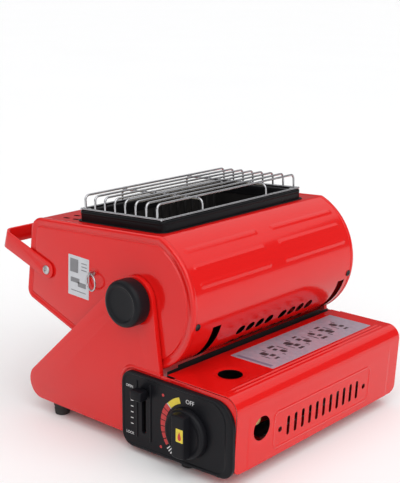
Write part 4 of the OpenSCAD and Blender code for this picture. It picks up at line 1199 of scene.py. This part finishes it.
def lockLever():
    look = leverLook
    place = Matrix.Translation(Vector((leverX, 0, leverZ)) * mm) @ inMillimetres
    low, high = look["tab"]
    parts = [roundBlock("tab", low, high, look["tabRound"], place, blackPlastic, 4)]
    for z in inRow(look["ribs"], look["ribPitch"]):
        start = (low[0] + look["ribIn"], low[1], z - look["ribHalf"])
        end = (high[0] - look["ribIn"], low[1] + look["ribDeep"], z + look["ribHalf"])
        parts.append(roundBlock("rib", start, end, look["ribRound"], place, blackPlastic, 2))
    parts.append(roundBlock("neck", *look["neck"], look["softEdge"], place, blackPlastic, 2))
    start = (leverBox[0].x - leverX, look["blockFront"], -look["blockHalf"])
    end = (leverBox[1].x - leverX, leverBox[1].y, look["blockHalf"])
    parts.append(roundBlock("block", start, end, look["softEdge"], place, blackPlastic, 2))
    seat(joined("lockLever", parts), "lock_lever")


controlPanel()
dialPrint()
controlKnob()
lockLever()
print("panel, knob and lever moulded")


# clamp knobs: turned discs with a dished face
clampLook = {
    "profile": ((0.0, 0.0), (20.6, 0.0), (22.0, 0.5), (22.7, 1.6), (23.0, 3.4), (23.0, 12.6), (22.8, 14.2),
                (22.2, 15.7), (21.2, 16.9), (19.9, 17.5), (18.7, 17.7), (17.8, 17.6), (17.1, 17.1),
                (16.6, 16.4), (15.6, 16.0), (13.0, 15.8), (8.0, 15.6), (3.0, 15.5), (0.0, 15.5)),
    "sides": 120,
    "smoothAngle": 34,
}


def clampKnob(name, side, node):
    low, high = boxOf(node)
    pivot = jointAt["head_tilt"] / mm
    deep = high.y - low.y
    tall = max(height for radius, height in clampLook["profile"])
    profile = [(radius, height * deep / tall) for radius, height in clampLook["profile"]]
    place = facing(side, pivot.x, high.y if side < 0 else low.y, pivot.z)
    seat(lathe(name, profile, place, blackPlastic, clampLook["sides"], clampLook["smoothAngle"]), node)


# rubber feet: turned, with one groove, as shares of the foot's radius and height
footLook = {
    "profile": ((0.0, 0.0), (0.72, 0.0), (0.88, 0.42), (0.84, 0.50), (0.84, 0.56), (0.93, 0.64), (1.0, 0.86),
                (0.97, 1.0), (0.0, 1.0)),
    "toe": (0.80, 0.4),  # share of the radius, and height in millimetres
    "sides": 40,
}


def rubberFeet():
    spots = [vert.co for vert in frame["nodes"]["rubber_feet"].data.vertices]
    middle = sum(spots, Vector()) / len(spots)
    groups = {}
    for spot in spots:
        groups.setdefault((spot.x > middle.x, spot.y > middle.y), []).append(spot)
    feet = []
    for group in groups.values():
        low = Vector([min(spot[axis] for spot in group) for axis in range(3)]) / mm
        high = Vector([max(spot[axis] for spot in group) for axis in range(3)]) / mm
        radius, tall = (high.x - low.x) / 2, high.z - low.z
        centre = Vector(((low.x + high.x) / 2, (low.y + high.y) / 2, low.z))
        profile = [(radius * share, tall * up) for share, up in footLook["profile"]]
        profile.insert(2, (radius * footLook["toe"][0], footLook["toe"][1]))
        place = Matrix.Translation(centre * mm) @ inMillimetres
        feet.append(lathe("foot", profile, place, finishes["rubber"], footLook["sides"]))
    seat(joined("rubberFeet", feet), "rubber_feet")


clampKnob("frontClampKnob", -1, "front_clamp_knob")
clampKnob("rearClampKnob", 1, "rear_clamp_knob")
rubberFeet()
print("clamp knobs and feet turned")


# Geometry Nodes: screw heads on points, a bead along a line and the burner's pierced cells on a grid

def newTree(name, inputs):
    tree = bpy.data.node_groups.new(name, "GeometryNodeTree")
    tree.interface.new_socket("Geometry", in_out="INPUT", socket_type="NodeSocketGeometry")
    for label, kind in inputs.items():
        tree.interface.new_socket(label, in_out="INPUT", socket_type="NodeSocket" + kind)
    tree.interface.new_socket("Geometry", in_out="OUTPUT", socket_type="NodeSocketGeometry")
    entry = tree.nodes.new("NodeGroupInput")
    wires = {socket.name: Wire(tree, socket) for socket in entry.outputs if socket.name}
    return tree, wires


def closeTree(tree, last, material):
    real = last.add("GeometryNodeRealizeInstances", {}, {0: last})
    dressed = real.add("GeometryNodeSetMaterial", {}, {"Geometry": real, "Material": material})
    leave = tree.nodes.new("NodeGroupOutput")
    tree.links.new(dressed.socket, leave.inputs[0])
    return tree


def grow(piece, tree, values):  # the tree's result becomes the piece's own mesh
    modifier = piece.modifiers.new(tree.name, "NODES")
    modifier.node_group = tree
    for item in tree.interface.items_tree:
        if item.in_out == "INPUT" and item.name in values:
            modifier[item.identifier] = values[item.name]
    settle(piece)


def screwTree():
    tree, wires = newTree("screwHeads", {"Head": "Object", "Radius": "Float", "Finish": "Material"})
    points = wires["Geometry"]
    aim = points.add("GeometryNodeInputNamedAttribute", {"data_type": "FLOAT_VECTOR"}, {"Name": "aim"})
    turn = points.add("FunctionNodeAlignRotationToVector", {"axis": "Z"}, {"Vector": aim})
    head = points.add("GeometryNodeObjectInfo", {}, {"Object": wires["Head"]}, out="Geometry")
    rows = points.add("GeometryNodeInstanceOnPoints", {},
                      {"Points": points, "Instance": head, "Rotation": turn, "Scale": wires["Radius"]})
    return closeTree(tree, rows, wires["Finish"])


screwLook = {
    "dome": ((0.0, -0.2), (0.94, -0.2), (1.0, -0.1), (1.0, 0.06), (0.96, 0.16), (0.84, 0.27), (0.66, 0.35),
             (0.42, 0.40), (0.0, 0.42)),
    "crossHalf": (0.11, 0.56),
    "crossFloor": 0.08,
    "crossNudge": 0.001,  # keeps the two cuts off one plane
    "crossRound": 0.03,
    "sides": 32,
    "shankSides": 20,
    "smoothAngle": 30,
    "handleSpot": (-130.0, 11.0),
    "handleSunk": 2.0,
    "handleSize": (4.7, 1.9, -4.0),  # head radius, shank radius and depth
    "coverAngle": -15,
    "coverProud": 0.3,
    "coverIn": 7,
    "coverSize": (3.4, 1.5, -5.0),
    "frameBreak": 0.3,
}


def crossHead():  # a screw head of radius 1 with a cross recess
    look = screwLook
    unit = Matrix.Identity(4)
    head = lathe("crossHead", look["dome"], unit, finishes["zinc_steel"], look["sides"])
    narrow, wide = look["crossHalf"]
    floor, nudge = look["crossFloor"], look["crossNudge"]
    for low, high in (((-wide, -narrow, floor), (wide, narrow, 1)),
                      ((-narrow, -wide, floor + nudge), (narrow, wide, 1 + nudge))):
        cutWith(head, [roundBlock("cross", low, high, look["crossRound"], unit, shadeBlack, 1)])
    shade(head, look["smoothAngle"])
    return head


def screwRow(name, tree, head, spots, size, node):
    radius, shank, deep = size
    finish = finishes[slotOf[node]]
    piece = newPiece(name, [spot for spot, aim in spots], [], finish)
    aims = piece.data.attributes.new("aim", "FLOAT_VECTOR", "POINT")
    for index, (spot, aim) in enumerate(spots):
        aims.data[index].vector = aim
    grow(piece, tree, {"Head": head, "Radius": radius * mm, "Finish": finish})
    parts = [piece]
    for spot, aim in spots:  # shanks below the heads
        place = Matrix.Translation(spot) @ aim.to_track_quat("Z", "Y").to_matrix().to_4x4() @ inMillimetres
        profile = ((0.0, deep), (shank, deep), (shank, 0.0), (0.0, 0.0))
        parts.append(lathe("shank", profile, place, finish, screwLook["shankSides"]))
    whole = joined(name, parts)
    shade(whole, screwLook["smoothAngle"])
    seat(whole, node)


def screws():
    look = screwLook
    tree = screwTree()
    head = crossHead()
    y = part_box("handle_screws")[1].y / mm - look["handleSunk"]
    x, z = look["handleSpot"]
    spots = [(inHead @ Vector((x, side * y, z)), Vector((0, side, 0))) for side in (-1, 1)]
    screwRow("handleScrews", tree, head, spots, look["handleSize"], "handle_screws")
    turn = math.radians(look["coverAngle"])
    out = Vector((math.cos(turn), 0, math.sin(turn)))
    onDrum = out * (headShape["drumRadius"] + look["coverProud"])
    aim = inHead.to_3x3().normalized() @ out
    y = headEnd - look["coverIn"]
    spots = [(inHead @ (onDrum + Vector((0, side * y, 0))), aim) for side in (-1, 1)]
    screwRow("coverScrews", tree, head, spots, look["coverSize"], "cover_screws")
    bpy.data.objects.remove(head)
    dressedCopy("frame_screws", look["frameBreak"])


beadLook = {
    "radius": 2.4,
    "depth": 1.2,  # the bead's middle below the plate's face
    "off": 3.4,  # outside the panel's corner
    "start": 56.0,
    "end": 73.0,
    "sides": 16,
    "turnSteps": 18,
    "smoothAngle": 40,
}


def beadTree():
    tree, wires = newTree("pressedBead", {"Radius": "Float", "Finish": "Material"})
    line = wires["Geometry"]
    path = line.add("GeometryNodeMeshToCurve", {}, {"Mesh": line})
    section = line.add("GeometryNodeCurvePrimitiveCircle", {},
                       {"Resolution": beadLook["sides"], "Radius": wires["Radius"]})
    bead = line.add("GeometryNodeCurveToMesh", {},
                    {"Curve": path, "Profile Curve": section, "Fill Caps": True})
    return closeTree(tree, bead, wires["Finish"])


def panelBead():  # pressed into the front plate, round the panel's upper corner
    look = beadLook
    low, high = panelBox
    corner = panelLook["corners"][1]
    turn = arc((low.x + corner, high.z - corner, corner + look["off"]), 180, 90, look["turnSteps"])
    spots = [(low.x - look["off"], look["start"])] + [spot[:2] for spot in turn]
    spots.append((look["end"], high.z + look["off"]))
    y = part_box("front_side_plate")[0].y / mm + look["depth"]
    edges = [(step, step + 1) for step in range(len(spots) - 1)]
    bead = newPiece("panelBead", [Vector((x, y, z)) * mm for x, z in spots], [], redEnamel, edges=edges)
    grow(bead, beadTree(), {"Radius": look["radius"] * mm, "Finish": redEnamel})
    turnOutwards(bead)
    shade(bead, look["smoothAngle"])
    fix(bead, "base")


tileLook = {
    "pitch": 3.1,
    "cells": (25, 19),
    "bore": 0.62,
    "deep": 3.2,
    "tiles": 3,
    "size": (80.0, 61.6, 10.0),
    "edge": 0.4,
    "gap": 0.4,
    "centre": (-37.5, -6.0, 36.0),
    "merge": 2e-5,  # metres
    "cellAngle": 50,
    "smoothAngle": 40,
}


def square(halfX, halfY):
    return [(halfX, halfY), (-halfX, halfY), (-halfX, -halfY), (halfX, -halfY)]


def piercedCell():  # one square of tile face with a bore, 17 faces
    look = tileLook
    half = look["pitch"] / 2
    points = [Vector((x, y, 0)) for x, y in square(half, half)]
    sides = 8  # two for each edge of the square
    upper, lower = 4, 4 + sides  # where the bore's two rings start among the points
    turns = [math.radians((step + 0.5) * 360 / sides) for step in range(sides)]
    bore = look["bore"] * look["pitch"] / 2
    for deep in (0.0, -look["deep"]):
        points += [Vector((bore * math.cos(turn), bore * math.sin(turn), deep)) for turn in turns]
    faces = [[upper + (step + 1) % sides, upper + step, lower + step, lower + (step + 1) % sides]
             for step in range(sides)]
    faces.append([lower + step for step in range(sides)])
    for corner in range(4):
        first = upper + 2 * corner
        faces.append([corner, first, first + 1])
        faces.append([corner, first + 1, upper + (2 * corner + 2) % sides, (corner + 1) % 4])
    cell = newPiece("piercedCell", [point * mm for point in points], faces, finishes["burner_ceramic"])
    with meshWork(cell.data) as work:  # the face looks up, and the bore's wall looks into the bore
        for face in work.faces:
            face.normal_update()
            middle = face.calc_center_median()
            inward = Vector((-middle.x, -middle.y, 0)) if abs(face.normal.z) < 0.5 else upwards
            if face.normal.dot(inward) < 0:
                face.normal_flip()
    shade(cell, look["cellAngle"])
    return cell


def tileTree():
    tree, wires = newTree("tileCells", {"Cell": "Object", "Across": "Int", "Along": "Int", "Pitch": "Float",
                                        "Finish": "Material"})
    centres = wires["Geometry"]
    width = (wires["Across"] - 1) * wires["Pitch"]
    length = (wires["Along"] - 1) * wires["Pitch"]
    field = centres.add("GeometryNodeMeshGrid", {},
                        {"Size X": width, "Size Y": length, "Vertices X": wires["Across"],
                         "Vertices Y": wires["Along"]})
    fields = centres.add("GeometryNodeInstanceOnPoints", {}, {"Points": centres, "Instance": field})
    spots = centres.add("GeometryNodeRealizeInstances", {}, {0: fields})
    cell = centres.add("GeometryNodeObjectInfo", {}, {"Object": wires["Cell"]}, out="Geometry")
    cells = centres.add("GeometryNodeInstanceOnPoints", {}, {"Points": spots, "Instance": cell})
    return closeTree(tree, cells, wires["Finish"])


def ceramicTiles():
    look = tileLook
    ceramic = finishes["burner_ceramic"]
    width, length, tall = look["size"]
    across, along = look["cells"]
    pitch, edge = look["pitch"], look["edge"]
    shifts = inRow(look["tiles"], length + look["gap"])
    centres = [Vector(look["centre"]) + Vector((0, shift, 0)) for shift in shifts]
    cell = piercedCell()
    faces = newPiece("ceramicTiles", [centre * mm for centre in centres], [], ceramic)
    grow(faces, tileTree(), {"Cell": cell, "Across": across, "Along": along, "Pitch": pitch * mm,
                             "Finish": ceramic})
    bpy.data.objects.remove(cell)
    faces.data.transform(inHead @ Matrix.Scale(1 / mm, 4))
    field, face = (across * pitch / 2, along * pitch / 2), (width / 2, length / 2)
    parts = [faces]
    for centre in centres:
        rings = []
        for halves, down in ((field, 0), ((face[0] - edge, face[1] - edge), 0), (face, edge), (face, tall),
                             (field, tall)):
            rings.append([inHead @ (centre + Vector((x, y, -down))) for x, y in square(*halves)])
        block = loft("tile", rings, ceramic)
        with meshWork(block.data) as work:  # the pierced face takes the place of the block's top
            work.faces.ensure_lookup_table()
            bmesh.ops.delete(work, geom=[work.faces[0]], context="FACES_ONLY")
        parts.append(block)
    whole = joined("ceramicTiles", parts)
    with meshWork(whole.data) as work:
        bmesh.ops.remove_doubles(work, verts=work.verts, dist=look["merge"])
    shade(whole, look["smoothAngle"])
    seat(whole, "ceramic_tiles")


screws()
panelBead()
ceramicTiles()
print("screws, bead and tiles grown")


# blank labels: film and paper with plain shapes

labelLook = {
    "end": (-83.5, 9.8, 30.2, 42.0, 0.8),  # x, z, width, height and corner
    "endTurn": -5.5,
    "endMarks": ((-6.5, 10.5, 12.0, 14.0), (8.0, 15.0, 8.0, 1.0), (8.0, 11.5, 8.0, 1.0),
                 (8.0, 8.0, 8.0, 1.0), (-5.0, -4.5, 13.0, 5.0), (5.0, -8.0, 12.0, 5.0),
                 (0.0, -15.5, 22.0, 1.0)),
    "lid": (115.5, 31.0, 53.0, 172.0, 1.2),  # x, y, width, length and corner
    "lidMarks": 7,
    "lidMarkPitch": 20.0,
    "lidShapes": ((-4.5, 0.0, 10.0, 8.0, 2.4), (4.0, 3.0, 6.0, 7.0, 1.4), (2.0, -6.0, 14.0, 1.6, 0.5),
                  (-10.0, 6.5, 6.0, 1.6, 0.5), (11.5, 0.5, 4.0, 9.0, 0.8)),
    "lidShrink": 0.12,
    "lidBand": (5.0, 4.0),
    "markCorner": 0.4,
    "thickness": 0.1,
    "endMarkSunk": 0.04,
    "lidSunk": 0.02,
    "lidMarkSunk": 0.06,
}


def labels():
    look = labelLook
    thick = look["thickness"]
    x, z, width, tall, corner = look["end"]
    turned = Matrix.Translation((x, 0, z)) @ Matrix.Rotation(-math.radians(look["endTurn"]), 4, "Y")

    def onEnd(shape, corner, ink, lift):
        outline = roundRect(*shape, corner)
        rings = [[inHead @ turned @ Vector((a, -fieldY - lift - deep, b)) for a, b in outline]
                 for deep in (0.0, thick)]
        return loft("endLabel", rings, inks[ink], printAngle)

    def onLid(shape, corner, ink, lift):
        z = lidShape["top"] + lift
        outline = roundRect(*shape, corner)
        rings = [[Vector((a, b, z + deep)) * mm for a, b in outline] for deep in (0.0, thick)]
        return loft("lidLabel", rings, inks[ink], printAngle)

    fix(onEnd((0, 0, width, tall), corner, "paper", 0.0), "head")
    lift = thick - look["endMarkSunk"]
    marks = [onEnd(mark, look["markCorner"], "grey", lift) for mark in look["endMarks"]]
    fix(joined("endLabelMarks", marks), "head")
    x, y, width, length, corner = look["lid"]
    fix(onLid((x, y, width, length), corner, "film", -look["lidSunk"]), "lid")
    bandIn, bandTall = look["lidBand"]
    band = (x, y - length / 2 + bandIn, width - 2 * bandIn, bandTall)
    lift = thick - look["lidMarkSunk"]
    fix(onLid(band, look["markCorner"], "lilac", lift), "lid")
    marks = []
    for index, shift in enumerate(inRow(look["lidMarks"], look["lidMarkPitch"])):
        spot = y + shift  # plain dark shapes in a row, every other group turned about
        flip = 1 - 2 * (index % 2)
        for across, on, wide, long, corner in look["lidShapes"]:
            size = 1 - look["lidShrink"] * ((index + int(abs(across))) % 3)
            shape = (x + flip * across, spot + flip * on, wide * size, long * size)
            marks.append(onLid(shape, corner * size, "dark", lift))
    fix(joined("lidLabelMarks", marks), "lid")


labels()
print("labels placed")


# studio: pale floor, soft sun and fills

studioLook = {
    "floorHalf": 40.0,
    "world": (0.16, 0.16, 0.165, 1),
    "suns": {"topDome": (1.7, 120.0, (0.0, 0.0, 1.0)), "rightKey": (2.0, 90.0, (0.9, -0.35, 0.75)),
             "frontFill": (0.25, 90.0, (-0.3, -1.0, 0.5))},  # strength, width and where it stands
}


def studio():
    look = studioLook
    corners = [Vector((x, y, 0)) for x, y in square(look["floorHalf"], look["floorHalf"])]
    floor = newPiece("paleFloor", corners, [[0, 1, 2, 3]], makeFinish(floorLook))
    world = bpy.data.worlds.new("studio")
    bpy.context.scene.world = world
    world.use_nodes = True
    world.node_tree.nodes["Background"].inputs["Color"].default_value = look["world"]
    for name, (strength, width, direction) in look["suns"].items():
        sun = bpy.data.lights.new(name, "SUN")
        sun.energy = strength
        sun.angle = math.radians(width)
        linked(name, sun).rotation_euler = Vector(direction).to_track_quat("Z", "Y").to_euler()
    bpy.context.scene.view_settings.view_transform = "Standard"


studio()
